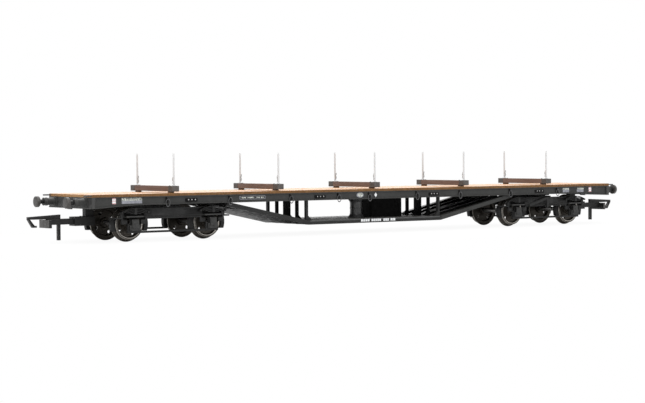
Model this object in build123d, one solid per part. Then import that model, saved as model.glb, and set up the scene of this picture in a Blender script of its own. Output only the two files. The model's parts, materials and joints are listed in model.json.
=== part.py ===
from build123d import *
import math
import os

os.makedirs("parts", exist_ok=True)

# A 1:76 model of a 62 ft bogie flat wagon for 16.5 mm gauge track.  Millimetres.
# X runs along the wagon, Y across it and Z up.  The wheel flanges stand on Z = 0.
# End "a" is at -X and end "b" at +X; the near side is at -Y and the far side at +Y.
# A bogie is drawn about its own pivot with its coupling towards +X, then turned to its end.

# ---------------------------------------------------------------- driving sizes
BODY_LENGTH = 248.0            # over the headstocks
BODY_WIDTH = 32.0              # over the solebars and the deck
BOGIE_INSET = 34.0             # of a bogie's pivot from its headstock's face
WHEELBASE = 32.0               # of one bogie
BACK_TO_BACK = 14.5            # between the backs of a wheelset's wheels

# ---------------------------------------------------------------- wheelsets
TREAD_RADIUS = 5.6
FLANGE_HEIGHT = 0.7
FLANGE_THICKNESS = 0.75
WHEEL_WIDTH = 2.7
RIM_DEPTH = 0.9                # radial depth of the tyre inside the tread
WEB_THICKNESS = 0.9
WEB_HOLES = 4
WEB_HOLE_RADIUS = 0.65
WEB_HOLE_INSET = 0.3           # of a hole's edge inside the tyre
INNER_AXLE_TURN = 45.0         # degrees the wheels stand turned at rest
OUTER_AXLE_TURN = 61.0
HUB_RADIUS = 1.7
AXLE_RADIUS = 1.0
JOURNAL_RADIUS = 0.6
JOURNAL_LENGTH = 1.1
JOURNAL_CLEARANCE = 0.08

# ---------------------------------------------------------------- heights of the body
WHEEL_HEADROOM = 0.5           # from the flange tops up to the underframe
SOLEBAR_DEPTH = 2.95
DECK_THICKNESS = 0.95
FLOOR_THICKNESS = 0.85
CROSS_BEARER_DEPTH = 1.0
CROSS_BEARER_WIDTH = 1.2

# ---------------------------------------------------------------- solebars and headstocks
SOLEBAR_WEB = 0.7
SOLEBAR_FLANGE = 0.35          # thickness of the channel's flanges
SOLEBAR_CHANNEL = 0.5          # depth of the channel's hollow face
RIB_THICKNESS = 0.4
RIB_INNER = 19.0               # of the two inner ribs from the middle
RIB_MIDDLE = 41.0
RIB_END_INSET = 30.0           # of the last rib from its headstock's face
HEADSTOCK_THICKNESS = 1.2
HEADSTOCK_DEPTH = 3.95
HEADSTOCK_RAMP = 17.0          # length over which a solebar deepens to its headstock
CORNER_PLATE_REACH = 2.5
CORNER_PLATE_WIDTH = 1.6
CORNER_PLATE_THICKNESS = 0.45
RIB_BRAKE = -4.4               # of the single rib beside the brake cylinder
RING_LENGTH = 3.0              # of a lashing ring, an oval loop of flat bar
RING_WIDTH = 1.9
RING_BAR = 0.34
RING_THICKNESS = 0.24
RING_OFFSET = 0.2              # from a rib to its lashing ring
RING_DROP = 0.95               # of the ring's lowest point below the solebar
RING_CLEARANCE = 0.1           # around a ring in its recess

# ---------------------------------------------------------------- buffers
BUFFER_SPACING = 22.6
BUFFER_DROP = 1.75             # of the buffer centre line below the floor's top
BUFFER_BASE = 3.4
BUFFER_BASE_THICKNESS = 0.4
BUFFER_SOCKET_RADIUS = 1.45
BUFFER_SOCKET_LENGTH = 4.7
BUFFER_RAM_RADIUS = 0.8
BUFFER_RAM_LENGTH = 1.7
BUFFER_HEAD_RADIUS = 1.95
BUFFER_HEAD_THICKNESS = 1.4

# ---------------------------------------------------------------- timber bolsters and stanchions
BOLSTER_COUNT = 5              # evenly spaced from one bogie's pivot to the other's
BOLSTER_LENGTH = 29.7
BOLSTER_WIDTH = 2.7
BOLSTER_DEPTH = 1.95
FOOT_HEIGHT = 0.5
FOOT_WIDTH = 2.0
FOOT_LENGTH = 1.5              # along the wagon
FOOT_SPACING = 23.1
STANCHION_SPACING = 25.9
STANCHION_OFFSET = 0.4         # from the bolster's middle towards end b
STANCHION_RADIUS = 0.35
STANCHION_HEIGHT = 11.55       # above its bolster
STANCHION_SOCKET = 1.2         # depth let into its bolster

# ---------------------------------------------------------------- underframe trusses
TRUSS_DEPTH = 9.1              # below the underframe
TRUSS_MEMBER = 1.6             # height of a chord or strut
TRUSS_WIDTH = 1.2
TRUSS_LIP = 1.2                # of an outer truss's chords and struts beyond its posts
TRUSS_GUSSET = 1.8             # at the inner foot of each post
CENTRE_TRUSS_WIDTH = 3.8
TRUSS_INNER_Y = 6.7            # of the trusses beside the centre one
TRUSS_OUTER_Y = 12.8
POST_STATION = 32.0
POST_THICKNESS = 1.0
TRUSS_REACH = 66.7             # where a strut's upper edge meets the underframe
TRUSS_TOE = 1.7                # square toe beyond that, clear of the inner wheels
TRAY_THICKNESS = 0.5

# ---------------------------------------------------------------- brake gear under the body
CYLINDER_X = -2.3
CYLINDER_Y = -4.2
CYLINDER_RADIUS = 2.3
CYLINDER_FLANGE_RADIUS = 3.0
CYLINDER_FLANGE_THICKNESS = 0.6
RESERVOIR_X = 13.35
RESERVOIR_LENGTH = 15.9
RESERVOIR_WIDTH = 7.6
RESERVOIR_ROUND = 1.2

# ---------------------------------------------------------------- bogies
PIVOT_RADIUS = 1.5
PIVOT_CLEARANCE = 0.1
PIVOT_GAP = 0.15               # between the boss and the transom
BODY_BOLSTER_WIDTH = 6.0
PIVOT_BOSS_RADIUS = 3.2
PIVOT_BOSS_HEIGHT = 0.6
TRANSOM_WIDTH = 7.0
TRANSOM_DEPTH = 4.2
SIDE_FRAME_SPACING = 24.8      # between the inner faces of the two side plates
SIDE_PLATE = 0.9
SIDE_PLATE_RISE = 5.6          # of a side plate's top above the axles
SIDE_PLATE_DEPTH = 3.8
SIDE_END = 21.4                # from the pivot to the end of a side plate
SIDE_END_DROP = 1.7            # of the plate's top at its end
SIDE_END_DEPTH = 1.4
HORN_WIDTH = 5.2
CHEEK_REACH = 5.0              # of a side plate's deep part each way from an axle
CHEEK_RISE = 0.1               # of the deep part's lower edge above the axles
HORN_SLOT = 1.2                # width of the slots beside an axlebox
HORN_SLOT_HEIGHT = 2.6
HORN_SLOT_GAP = 0.05           # between an axlebox and its slots
AXLEBOX_WIDTH = 3.0
AXLEBOX_HEIGHT = 4.4
AXLEBOX_PROJECTION = 1.2       # beyond the side plate's outer face
TIE_BAR_HEIGHT = 0.7
TIE_BAR_DROP = 3.1             # of its underside below the axles
SPRING_HALF_LENGTH = 5.6
SPRING_CAMBER = 1.4
SPRING_LEAF = 1.1              # thickness of the leaf pack at its middle
SPRING_TIP = 0.5               # and at its ends
SPRING_RISE = 5.8              # of the spring's top above its axle
SPRING_WIDTH = 1.1
SHOE_GAP = 0.35                # between a shoe and the wheel's tread
SHOE_THICKNESS = 1.5
SHOE_HEIGHT = 5.0
SHOE_SIDE_GAP = 0.3            # between a shoe and the wheel's flange
SHOE_ARM = 0.5                 # thickness of the arm that carries a shoe
LEVER_LENGTH = 10.0
LEVER_DEPTH = 1.1
LEVER_THICKNESS = 0.6
LEVER_X = -10.5                # of the lever's lower end from the pivot
LEVER_SLOPE = 16.0             # degrees
LEVER_HANDLE = 4.6
LEVER_BOSS_RADIUS = 0.8

# ---------------------------------------------------------------- tension-lock couplings
COLUMN_INSET = 7.0             # of the column behind the headstock's face
COLUMN_LENGTH = 6.1            # from the floor down to the pocket
COLUMN_SIZE = 3.2
COLUMN_WIDTH = 2.4
POCKET_LENGTH = 7.9
POCKET_WIDTH = 4.4
POCKET_DEPTH = 3.2
SHANK_WIDTH = 2.6
SHANK_DEPTH = 2.0
BUMPER_REACH = 9.0             # of the bumper's back beyond the headstock
BUMPER_THICKNESS = 1.1
BUMPER_WIDTH = 7.6
BUMPER_DEPTH = 2.8
BUMPER_DROP = 0.65             # of the bumper's middle below the shank's
HOOK_PIVOT_REACH = 4.6         # of the hook's pin beyond the headstock
HOOK_PIN_RADIUS = 0.4
HOOK_PIN_CLEARANCE = 0.1
HOOK_WIDTH = 1.2
HOOK_BEAM = 1.6
HOOK_BEAM_FALL = 0.6           # of its top at the tip
HOOK_REACH = 16.5              # of the hook's tip beyond the headstock
HOOK_TIP_DEPTH = 0.9
HOOK_NOSE_THICKNESS = 0.8
HOOK_NOSE_DROP = 3.7           # of the foot below the beam's top
HOOK_NOSE_SLOPE = 1.75         # how far the foot lies behind the tip
HOOK_FOOT_LENGTH = 0.8
HOOK_FOOT_THICKNESS = 0.65
HOOK_SWING = 0.2               # of room in the shank's slot behind the drop arm's width
HOOK_GAP = 0.15                # between the hook's beam and the bumper
DROP_ARM_WIDTH = 1.0
DROP_ARM_LENGTH = 6.45         # below the hook's pin

# ---------------------------------------------------------------- derived places
flange_radius = TREAD_RADIUS + FLANGE_HEIGHT
axle_z = flange_radius
underframe_z = axle_z + flange_radius + WHEEL_HEADROOM
floor_top = underframe_z + SOLEBAR_DEPTH
deck_top = floor_top + DECK_THICKNESS
floor_bottom = floor_top - FLOOR_THICKNESS
bearer_bottom = floor_bottom - CROSS_BEARER_DEPTH
half_length = BODY_LENGTH / 2
half_width = BODY_WIDTH / 2
headstock_inner = half_length - HEADSTOCK_THICKNESS
headstock_bottom = floor_top - HEADSTOCK_DEPTH
solebar_inner = half_width - SOLEBAR_CHANNEL - SOLEBAR_WEB
ring_top = underframe_z - RING_DROP + RING_LENGTH
chord_bottom = underframe_z - TRUSS_DEPTH
chord_top = chord_bottom + TRUSS_MEMBER
truss_slope = (TRUSS_DEPTH - TRUSS_MEMBER) / (TRUSS_REACH - POST_STATION)
truss_edge = TRUSS_OUTER_Y + TRUSS_WIDTH / 2 + TRUSS_LIP
truss_end = TRUSS_REACH + TRUSS_TOE
rib_truss = truss_end - CROSS_BEARER_WIDTH / 2
rib_end = half_length - RIB_END_INSET
bogie_x = half_length - BOGIE_INSET
bolster_pitch = 2 * bogie_x / (BOLSTER_COUNT - 1)
bolster_base = deck_top + FOOT_HEIGHT
bolster_top = bolster_base + BOLSTER_DEPTH
boss_bottom = underframe_z - PIVOT_BOSS_HEIGHT
transom_top = boss_bottom - PIVOT_GAP
transom_bottom = transom_top - TRANSOM_DEPTH
side_inner = SIDE_FRAME_SPACING / 2
side_outer = side_inner + SIDE_PLATE
axlebox_outer = side_outer + AXLEBOX_PROJECTION
axle_station = WHEELBASE / 2
axle_half = side_inner + JOURNAL_LENGTH
side_plate_top = axle_z + SIDE_PLATE_RISE
side_plate_bottom = side_plate_top - SIDE_PLATE_DEPTH
side_end_top = side_plate_top - SIDE_END_DROP
side_end_bottom = side_end_top - SIDE_END_DEPTH
tie_bar_bottom = axle_z - TIE_BAR_DROP
spring_top = axle_z + SPRING_RISE
cheek_outer = axle_station + CHEEK_REACH
cheek_inner = axle_station - CHEEK_REACH
cheek_bottom = axle_z + CHEEK_RISE
slot_middle = (AXLEBOX_WIDTH + HORN_SLOT) / 2 + HORN_SLOT_GAP
tread_start = BACK_TO_BACK / 2 + FLANGE_THICKNESS
tread_end = BACK_TO_BACK / 2 + WHEEL_WIDTH
inner_rim = TREAD_RADIUS - RIM_DEPTH
shoe_inner = TREAD_RADIUS + SHOE_GAP
shoe_outer = shoe_inner + SHOE_THICKNESS
hole_circle = inner_rim - WEB_HOLE_INSET - WEB_HOLE_RADIUS
pocket_top = floor_bottom - COLUMN_LENGTH
pocket_z = pocket_top - POCKET_DEPTH / 2
column_x = half_length - COLUMN_INSET
pocket_start = column_x - COLUMN_SIZE / 2
pocket_end = pocket_start + POCKET_LENGTH
bumper_back = half_length + BUMPER_REACH
bumper_z = pocket_z - BUMPER_DROP
bumper_top = bumper_z + BUMPER_DEPTH / 2
hook_pivot_x = half_length + HOOK_PIVOT_REACH
hook_tip_x = half_length + HOOK_REACH
hook_beam_bottom = bumper_top + HOOK_GAP


def block(x, y, z):
    """A box between pairs of low and high values."""
    centre = Pos((x[0] + x[1]) / 2, (y[0] + y[1]) / 2, (z[0] + z[1]) / 2)
    return centre * Box(x[1] - x[0], y[1] - y[0], z[1] - z[0])


def about(middle, size):
    """The low and high values of a size centred on a middle."""
    return (middle - size / 2, middle + size / 2)


def upright(points, y):
    """A prism whose outline is given in X and Z, between two values of Y."""
    outline = Plane.XZ * make_face(Polyline(*points, close=True))
    return Pos(0, y[1], 0) * extrude(outline, amount=y[1] - y[0])


def rod_y(radius, y, x=0.0, z=0.0):
    """A round bar along Y."""
    return Pos(x, (y[0] + y[1]) / 2, z) * Rot(90, 0, 0) * Cylinder(radius, y[1] - y[0])


def rod_x(radius, x, y=0.0, z=0.0):
    """A round bar along X."""
    return Pos((x[0] + x[1]) / 2, y, z) * Rot(0, 90, 0) * Cylinder(radius, x[1] - x[0])


def rod_z(radius, z, x=0.0, y=0.0):
    """A round bar along Z."""
    return Pos(x, y, (z[0] + z[1]) / 2) * Cylinder(radius, z[1] - z[0])


def mirror_y(shape):
    """The same shape on the other side of the centre line."""
    return mirror(shape, about=Plane.XZ)


def mirror_x(shape):
    """The same shape at the other end."""
    return mirror(shape, about=Plane.YZ)


def save(name, *shapes):
    """Write one node; several shapes in it are separate solids that do not touch."""
    solids = [solid for shape in shapes for solid in shape.solids()]
    body = solids[0] if len(solids) == 1 else Compound(children=solids)
    body.label = name
    export_step(body, f"parts/{name}.step")


# ---------------------------------------------------------------- body
def make_deck():
    return block((-half_length, half_length), (-half_width, half_width), (floor_top, deck_top))


def make_floor():
    return block(
        (-headstock_inner, headstock_inner),
        (-solebar_inner, solebar_inner),
        (floor_bottom, floor_top),
    )


def make_solebar():
    """The far solebar: a channel with its hollow outwards, deeper at its ends, with ribs."""
    ramp = headstock_inner - HEADSTOCK_RAMP
    outline = [
        (-headstock_inner, floor_top),
        (-headstock_inner, headstock_bottom),
        (-ramp, underframe_z),
        (ramp, underframe_z),
        (headstock_inner, headstock_bottom),
        (headstock_inner, floor_top),
    ]
    hollow = [
        (-headstock_inner + SOLEBAR_FLANGE, floor_top - SOLEBAR_FLANGE),
        (-headstock_inner + SOLEBAR_FLANGE, headstock_bottom + SOLEBAR_FLANGE),
        (-ramp, underframe_z + SOLEBAR_FLANGE),
        (ramp, underframe_z + SOLEBAR_FLANGE),
        (headstock_inner - SOLEBAR_FLANGE, headstock_bottom + SOLEBAR_FLANGE),
        (headstock_inner - SOLEBAR_FLANGE, floor_top - SOLEBAR_FLANGE),
    ]
    solebar = upright(outline, (solebar_inner, half_width))
    solebar -= upright(hollow, (half_width - SOLEBAR_CHANNEL, half_width))
    for place in rib_places():
        solebar += block(
            about(place, RIB_THICKNESS),
            (half_width - SOLEBAR_CHANNEL, half_width),
            (underframe_z, floor_top),
        )
    for place in ring_places():
        solebar -= block(
            about(place, RING_WIDTH + 2 * RING_CLEARANCE),
            (half_width - RING_THICKNESS - RING_CLEARANCE, half_width),
            (underframe_z, ring_top + RING_CLEARANCE),
        )
    return solebar


def bearer_places():
    """Where cross bearers run over the trusses, the last ones over the trusses' ends."""
    return [side * place for side in (-1, 1) for place in (RIB_INNER, RIB_MIDDLE, rib_truss)]


def rib_places():
    """Where the solebars' ribs stand: at every cross bearer, over the bogies and one more."""
    return bearer_places() + [-rib_end, RIB_BRAKE, rib_end]


def ring_places():
    """Where the lashing rings hang, each in front of its rib."""
    return [place + RING_OFFSET for place in rib_places()]


def make_rings():
    """The far side's lashing rings, which hang in recesses in the solebar's face."""
    loop = SlotOverall(RING_LENGTH, RING_WIDTH, rotation=90)
    loop -= SlotOverall(RING_LENGTH - 2 * RING_BAR, RING_WIDTH - 2 * RING_BAR, rotation=90)
    ring = extrude(Plane.XZ * loop, amount=RING_THICKNESS)
    ring_z = ring_top - RING_LENGTH / 2
    return [Pos(place, half_width, ring_z) * ring for place in ring_places()]


def make_headstock():
    """The headstock at end b with its buffer bases and the deck's two corner plates."""
    headstock = block(
        (headstock_inner, half_length),
        (-half_width, half_width),
        (headstock_bottom, floor_top),
    )
    for side in (-1, 1):
        headstock += block(
            (half_length, half_length + BUFFER_BASE_THICKNESS),
            about(side * BUFFER_SPACING / 2, BUFFER_BASE),
            about(floor_top - BUFFER_DROP, BUFFER_BASE),
        )
    return headstock


def make_corner_plate(side):
    """A thin plate at end b that carries on the deck's edge beyond the headstock."""
    outer = side * half_width
    inner = side * (half_width - CORNER_PLATE_WIDTH)
    return block(
        (half_length, half_length + CORNER_PLATE_REACH),
        (min(outer, inner), max(outer, inner)),
        about(floor_top + DECK_THICKNESS / 2, CORNER_PLATE_THICKNESS),
    )


def make_buffer_socket(side):
    socket = rod_x(
        BUFFER_SOCKET_RADIUS,
        (half_length + BUFFER_BASE_THICKNESS, half_length + BUFFER_SOCKET_LENGTH),
        side * BUFFER_SPACING / 2,
        floor_top - BUFFER_DROP,
    )
    return socket


def make_buffer_head(side):
    """A buffer's ram and its slightly domed round head."""
    y = side * BUFFER_SPACING / 2
    z = floor_top - BUFFER_DROP
    ram_start = half_length + BUFFER_SOCKET_LENGTH
    head_start = ram_start + BUFFER_RAM_LENGTH
    ram = rod_x(BUFFER_RAM_RADIUS, (ram_start, head_start), y, z)
    head = rod_x(BUFFER_HEAD_RADIUS, (head_start, head_start + BUFFER_HEAD_THICKNESS), y, z)
    rim = head.edges().filter_by(GeomType.CIRCLE).sort_by(Axis.X)[-1]
    return ram + fillet(rim, BUFFER_HEAD_THICKNESS / 2)


def make_cross_bearers():
    """Bearers across the floor's underside, over the trusses and clear of the bogies."""
    across = (-solebar_inner, solebar_inner)
    upwards = (bearer_bottom, floor_bottom)
    return [block(about(place, CROSS_BEARER_WIDTH), across, upwards) for place in bearer_places()]


def make_truss(y, width, lip=0.0):
    """A top chord, two posts with gussets, two sloping struts and a bottom chord.

    The chords and struts of an outer truss carry on by a lip beyond its posts.
    """
    side = math.copysign(1, y)
    across = sorted((y - side * width / 2, y + side * (width / 2 + lip)))
    foot = chord_bottom + truss_slope * (truss_end - POST_STATION)
    outline = [
        (-truss_end, bearer_bottom),
        (-truss_end, foot),
        (-POST_STATION, chord_bottom),
        (POST_STATION, chord_bottom),
        (truss_end, foot),
        (truss_end, bearer_bottom),
    ]
    inner_post = POST_STATION - POST_THICKNESS / 2
    outer_post = POST_STATION + POST_THICKNESS / 2
    tray_bottom = chord_top - TRAY_THICKNESS
    side_window = [
        (outer_post, underframe_z),
        (outer_post, chord_top + truss_slope * POST_THICKNESS / 2),
        (TRUSS_REACH, underframe_z),
    ]
    window = block((-inner_post, inner_post), across, (tray_bottom, underframe_z))
    end_window = upright(side_window, across)
    truss = upright(outline, across) - window - end_window - mirror_x(end_window)
    gusset = upright(
        [
            (inner_post, chord_top),
            (inner_post - TRUSS_GUSSET, chord_top),
            (inner_post, chord_top + TRUSS_GUSSET),
        ],
        about(y, width),
    )
    truss += gusset + mirror_x(gusset)
    if lip:
        beyond = sorted((y + side * width / 2, y + side * (width / 2 + lip)))
        for station in (-POST_STATION, POST_STATION):
            truss -= block(about(station, POST_THICKNESS), beyond, (chord_top, underframe_z))
    return truss


def make_tray():
    """The thin plate that lies on the bottom chords between the posts."""
    inner_post = POST_STATION - POST_THICKNESS / 2
    return block(
        (-inner_post, inner_post),
        (-truss_edge, truss_edge),
        (chord_top - TRAY_THICKNESS, chord_top),
    )


def make_bolster(x):
    """A timber bolster on two feet, with a hole at each end for its stanchion."""
    bolster = block(
        about(x, BOLSTER_WIDTH), about(0, BOLSTER_LENGTH), (bolster_base, bolster_top)
    )
    for side in (-1, 1):
        foot_y = about(side * FOOT_SPACING / 2, FOOT_WIDTH)
        bolster += block(about(x, FOOT_LENGTH), foot_y, (deck_top, bolster_base))
        y = side * STANCHION_SPACING / 2
        hole_z = (bolster_top - STANCHION_SOCKET, bolster_top)
        bolster -= rod_z(STANCHION_RADIUS, hole_z, x + STANCHION_OFFSET, y)
    return bolster


def make_stanchion(x, side):
    return rod_z(
        STANCHION_RADIUS,
        (bolster_top - STANCHION_SOCKET, bolster_top + STANCHION_HEIGHT),
        x + STANCHION_OFFSET,
        side * STANCHION_SPACING / 2,
    )


def make_brake_cylinder():
    """An upright drum between two flanges, from the tray to the trusses' top chords."""
    bottom = chord_top
    top = underframe_z
    at = {"x": CYLINDER_X, "y": CYLINDER_Y}
    drum = rod_z(CYLINDER_RADIUS, (bottom, top), **at)
    drum += rod_z(CYLINDER_FLANGE_RADIUS, (bottom, bottom + CYLINDER_FLANGE_THICKNESS), **at)
    drum += rod_z(CYLINDER_FLANGE_RADIUS, (top - CYLINDER_FLANGE_THICKNESS, top), **at)
    return drum


def make_reservoir():
    tank = block(
        about(RESERVOIR_X, RESERVOIR_LENGTH), about(0, RESERVOIR_WIDTH), (chord_top, underframe_z)
    )
    return fillet(tank.edges().filter_by(Axis.Z), RESERVOIR_ROUND)


def make_body_bolster():
    """The cross member over bogie b, with its rubbing boss and pivot pin."""
    member = block(
        about(bogie_x, BODY_BOLSTER_WIDTH),
        (-solebar_inner, solebar_inner),
        (underframe_z, floor_bottom),
    )
    member += rod_z(PIVOT_BOSS_RADIUS, (boss_bottom, underframe_z), bogie_x)
    member += rod_z(PIVOT_RADIUS, (transom_bottom, boss_bottom), bogie_x)
    return member


# ---------------------------------------------------------------- bogie, about its own pivot
def make_transom():
    transom = block(
        about(0, TRANSOM_WIDTH), (-side_inner, side_inner), (transom_bottom, transom_top)
    )
    return transom - rod_z(PIVOT_RADIUS + PIVOT_CLEARANCE, (transom_bottom, transom_top))


def make_side_frame():
    """The far side plate, deeper at each axle, with slotted horns and the tie bar below."""
    plate = [
        (-SIDE_END, side_end_bottom),
        (-SIDE_END, side_end_top),
        (-axle_station, side_plate_top),
        (axle_station, side_plate_top),
        (SIDE_END, side_end_top),
        (SIDE_END, side_end_bottom),
        (cheek_outer, side_end_bottom),
        (cheek_outer, cheek_bottom),
        (cheek_inner, cheek_bottom),
        (cheek_inner, side_plate_bottom),
        (-cheek_inner, side_plate_bottom),
        (-cheek_inner, cheek_bottom),
        (-cheek_outer, cheek_bottom),
        (-cheek_outer, side_end_bottom),
    ]
    across = (side_inner, side_outer)
    frame = upright(plate, across)
    for end in (-1, 1):
        horn_x = about(end * axle_station, HORN_WIDTH)
        frame += block(horn_x, across, (tie_bar_bottom, cheek_bottom))
    tie_bar_z = (tie_bar_bottom, tie_bar_bottom + TIE_BAR_HEIGHT)
    frame += block(about(0, WHEELBASE), across, tie_bar_z)
    bearing = JOURNAL_RADIUS + JOURNAL_CLEARANCE
    slot_z = (axle_z, axle_z + HORN_SLOT_HEIGHT)
    for end in (-1, 1):
        axle_x = end * axle_station
        frame -= rod_y(bearing, across, axle_x, axle_z)
        for slot_x in (axle_x - slot_middle, axle_x + slot_middle):
            frame -= block(about(slot_x, HORN_SLOT), across, slot_z)
    return frame


def make_axlebox(end):
    """A far-side axlebox on the side plate's outer face, with its blind bearing."""
    x = end * axle_station
    box = block(about(x, AXLEBOX_WIDTH), (side_outer, axlebox_outer), about(axle_z, AXLEBOX_HEIGHT))
    bearing_end = axle_half + JOURNAL_CLEARANCE
    if bearing_end > side_outer:
        box -= rod_y(JOURNAL_RADIUS + JOURNAL_CLEARANCE, (side_outer, bearing_end), x, axle_z)
    return box


def make_spring(end):
    """A far-side leaf spring, curved upwards over its axlebox and thinner at its ends."""
    x = end * axle_station
    left = x - SPRING_HALF_LENGTH
    right = x + SPRING_HALF_LENGTH
    end_z = spring_top - SPRING_CAMBER
    upper = ThreePointArc((left, end_z), (x, spring_top), (right, end_z))
    lower = ThreePointArc(
        (right, end_z - SPRING_TIP), (x, spring_top - SPRING_LEAF), (left, end_z - SPRING_TIP)
    )
    outline = make_face([upper, Line(upper @ 1, lower @ 0), lower, Line(lower @ 1, upper @ 0)])
    spring = extrude(Plane.XZ * outline, amount=SPRING_WIDTH)
    return Pos(0, side_outer + SPRING_WIDTH, 0) * spring


def make_shoe(end, away):
    """A far-side brake shoe that faces one wheel's tread, inside or outside the wheelbase.

    end is the wheel's end of the bogie, and away is 1 for the shoe beyond the axle from
    the pivot and -1 for the one before it.
    """
    x = end * axle_station
    facing = end * away
    width = (tread_start + SHOE_SIDE_GAP, tread_end)
    ring = rod_y(shoe_outer, width, x, axle_z) - rod_y(shoe_inner, width, x, axle_z)
    reach = sorted((x, x + facing * shoe_outer))
    return ring & block(reach, width, (side_end_bottom - SHOE_HEIGHT, side_end_bottom))


def make_outer_brake(end):
    """The far shoe beyond an axle, with its arm out to the underside of the side plate."""
    shoe_out = axle_station + shoe_outer
    arm_z = (side_end_bottom - SHOE_ARM, side_end_bottom)
    across = block(
        sorted((end * (axle_station + shoe_inner), end * shoe_out)),
        (tread_start + SHOE_SIDE_GAP, side_outer),
        arm_z,
    )
    along_x = sorted((end * cheek_outer, end * shoe_out))
    along = block(along_x, (side_inner, side_outer), arm_z)
    return make_shoe(end, 1) + across + along


def make_inner_brake(end):
    """The far shoe before an axle, with its arm back to the transom."""
    shoe_near = axle_station - shoe_inner
    arm = block(
        sorted((end * TRANSOM_WIDTH / 2, end * shoe_near)),
        (tread_start + SHOE_SIDE_GAP, tread_end),
        (side_end_bottom - SHOE_ARM, side_end_bottom),
    )
    return make_shoe(end, -1) + arm


def make_brake_lever():
    """A sloping brake lever with a hanging handle, on a boss on the near side plate."""
    angle = math.radians(LEVER_SLOPE)
    rise = LEVER_LENGTH * math.sin(angle)
    low = (LEVER_X, side_plate_bottom)
    high = (LEVER_X + LEVER_LENGTH * math.cos(angle), side_plate_bottom + rise)
    outline = [
        low,
        high,
        (high[0], high[1] + LEVER_DEPTH),
        (low[0], low[1] + LEVER_DEPTH),
    ]
    face = -side_outer - LEVER_BOSS_RADIUS
    lever_y = (face - LEVER_THICKNESS, face)
    lever = upright(outline, lever_y)
    lever += block(
        (high[0], high[0] + LEVER_DEPTH),
        lever_y,
        (high[1] + LEVER_DEPTH - LEVER_HANDLE, high[1] + LEVER_DEPTH),
    )
    middle_x = (low[0] + high[0]) / 2
    middle_z = (low[1] + high[1] + LEVER_DEPTH) / 2
    return lever + rod_y(LEVER_BOSS_RADIUS, (face, -side_outer), middle_x, middle_z)


# ---------------------------------------------------------------- coupling at end b
def make_coupling_mount():
    """The column under the floor, the coupling's pocket, its slotted shank and bumper bar."""
    mount = block(
        about(column_x, COLUMN_SIZE), about(0, COLUMN_WIDTH), (pocket_top, floor_bottom)
    )
    pocket_span = (pocket_top - POCKET_DEPTH, pocket_top)
    mount += block((pocket_start, pocket_end), about(0, POCKET_WIDTH), pocket_span)
    shank = block((pocket_end, bumper_back), about(0, SHANK_WIDTH), about(pocket_z, SHANK_DEPTH))
    slot = block(
        (hook_pivot_x - DROP_ARM_WIDTH - HOOK_SWING, bumper_back),
        about(0, HOOK_WIDTH + 2 * HOOK_PIN_CLEARANCE),
        about(pocket_z, SHANK_DEPTH),
    )
    mount += shank - slot
    mount += block(
        (bumper_back, bumper_back + BUMPER_THICKNESS),
        about(0, BUMPER_WIDTH),
        about(bumper_z, BUMPER_DEPTH),
    )
    return mount + rod_y(HOOK_PIN_RADIUS, about(0, SHANK_WIDTH), hook_pivot_x, pocket_z)


def make_hook():
    """The hook: a beam over the bumper, a sloping nose with a foot, and a drop arm."""
    beam_top = hook_beam_bottom + HOOK_BEAM
    arm_back = hook_pivot_x - DROP_ARM_WIDTH / 2
    arm_front = hook_pivot_x + DROP_ARM_WIDTH / 2
    arm_bottom = pocket_z - DROP_ARM_LENGTH
    nose_x = hook_tip_x - HOOK_NOSE_THICKNESS
    tip_top = beam_top - HOOK_BEAM_FALL
    nose_z = tip_top - HOOK_TIP_DEPTH
    foot_x = hook_tip_x - HOOK_NOSE_SLOPE
    foot_z = tip_top - HOOK_NOSE_DROP
    outline = [
        (arm_back, beam_top),
        (arm_back, arm_bottom),
        (arm_front, arm_bottom),
        (arm_front, hook_beam_bottom),
        (nose_x, nose_z),
        (foot_x - HOOK_NOSE_THICKNESS, foot_z + HOOK_FOOT_THICKNESS),
        (foot_x - HOOK_NOSE_THICKNESS - HOOK_FOOT_LENGTH, foot_z + HOOK_FOOT_THICKNESS),
        (foot_x - HOOK_NOSE_THICKNESS - HOOK_FOOT_LENGTH, foot_z),
        (foot_x, foot_z),
        (hook_tip_x, nose_z),
        (hook_tip_x, tip_top),
    ]
    hook = upright(outline, about(0, HOOK_WIDTH))
    pin_hole = HOOK_PIN_RADIUS + HOOK_PIN_CLEARANCE
    return hook - rod_y(pin_hole, about(0, HOOK_WIDTH), hook_pivot_x, pocket_z)


# ---------------------------------------------------------------- wheelset, about its own axle
def make_wheel(turn):
    """The far wheel: flange inwards, tread, hollow faces and round holes in its web.

    turn is the angle in degrees that the holes are turned by.
    """
    back = BACK_TO_BACK / 2
    flange = rod_y(flange_radius, (back, back + FLANGE_THICKNESS))
    tread = rod_y(TREAD_RADIUS, (back + FLANGE_THICKNESS, back + WHEEL_WIDTH))
    wheel = flange + tread
    web_middle = back + WHEEL_WIDTH / 2
    hollow = rod_y(inner_rim, (back, back + WHEEL_WIDTH))
    hollow -= rod_y(inner_rim, about(web_middle, WEB_THICKNESS))
    hollow -= rod_y(HUB_RADIUS, (back, back + WHEEL_WIDTH))
    wheel -= hollow
    for index in range(WEB_HOLES):
        angle = math.radians(turn) + 2 * math.pi * index / WEB_HOLES
        wheel -= rod_y(
            WEB_HOLE_RADIUS,
            (back, back + WHEEL_WIDTH),
            hole_circle * math.cos(angle),
            hole_circle * math.sin(angle),
        )
    return wheel - rod_y(AXLE_RADIUS, (back, back + WHEEL_WIDTH))


def make_axle():
    shoulder = axle_half - JOURNAL_LENGTH - JOURNAL_CLEARANCE
    axle = rod_y(AXLE_RADIUS, (-shoulder, shoulder))
    return axle + rod_y(JOURNAL_RADIUS, (-axle_half, axle_half))


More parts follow.
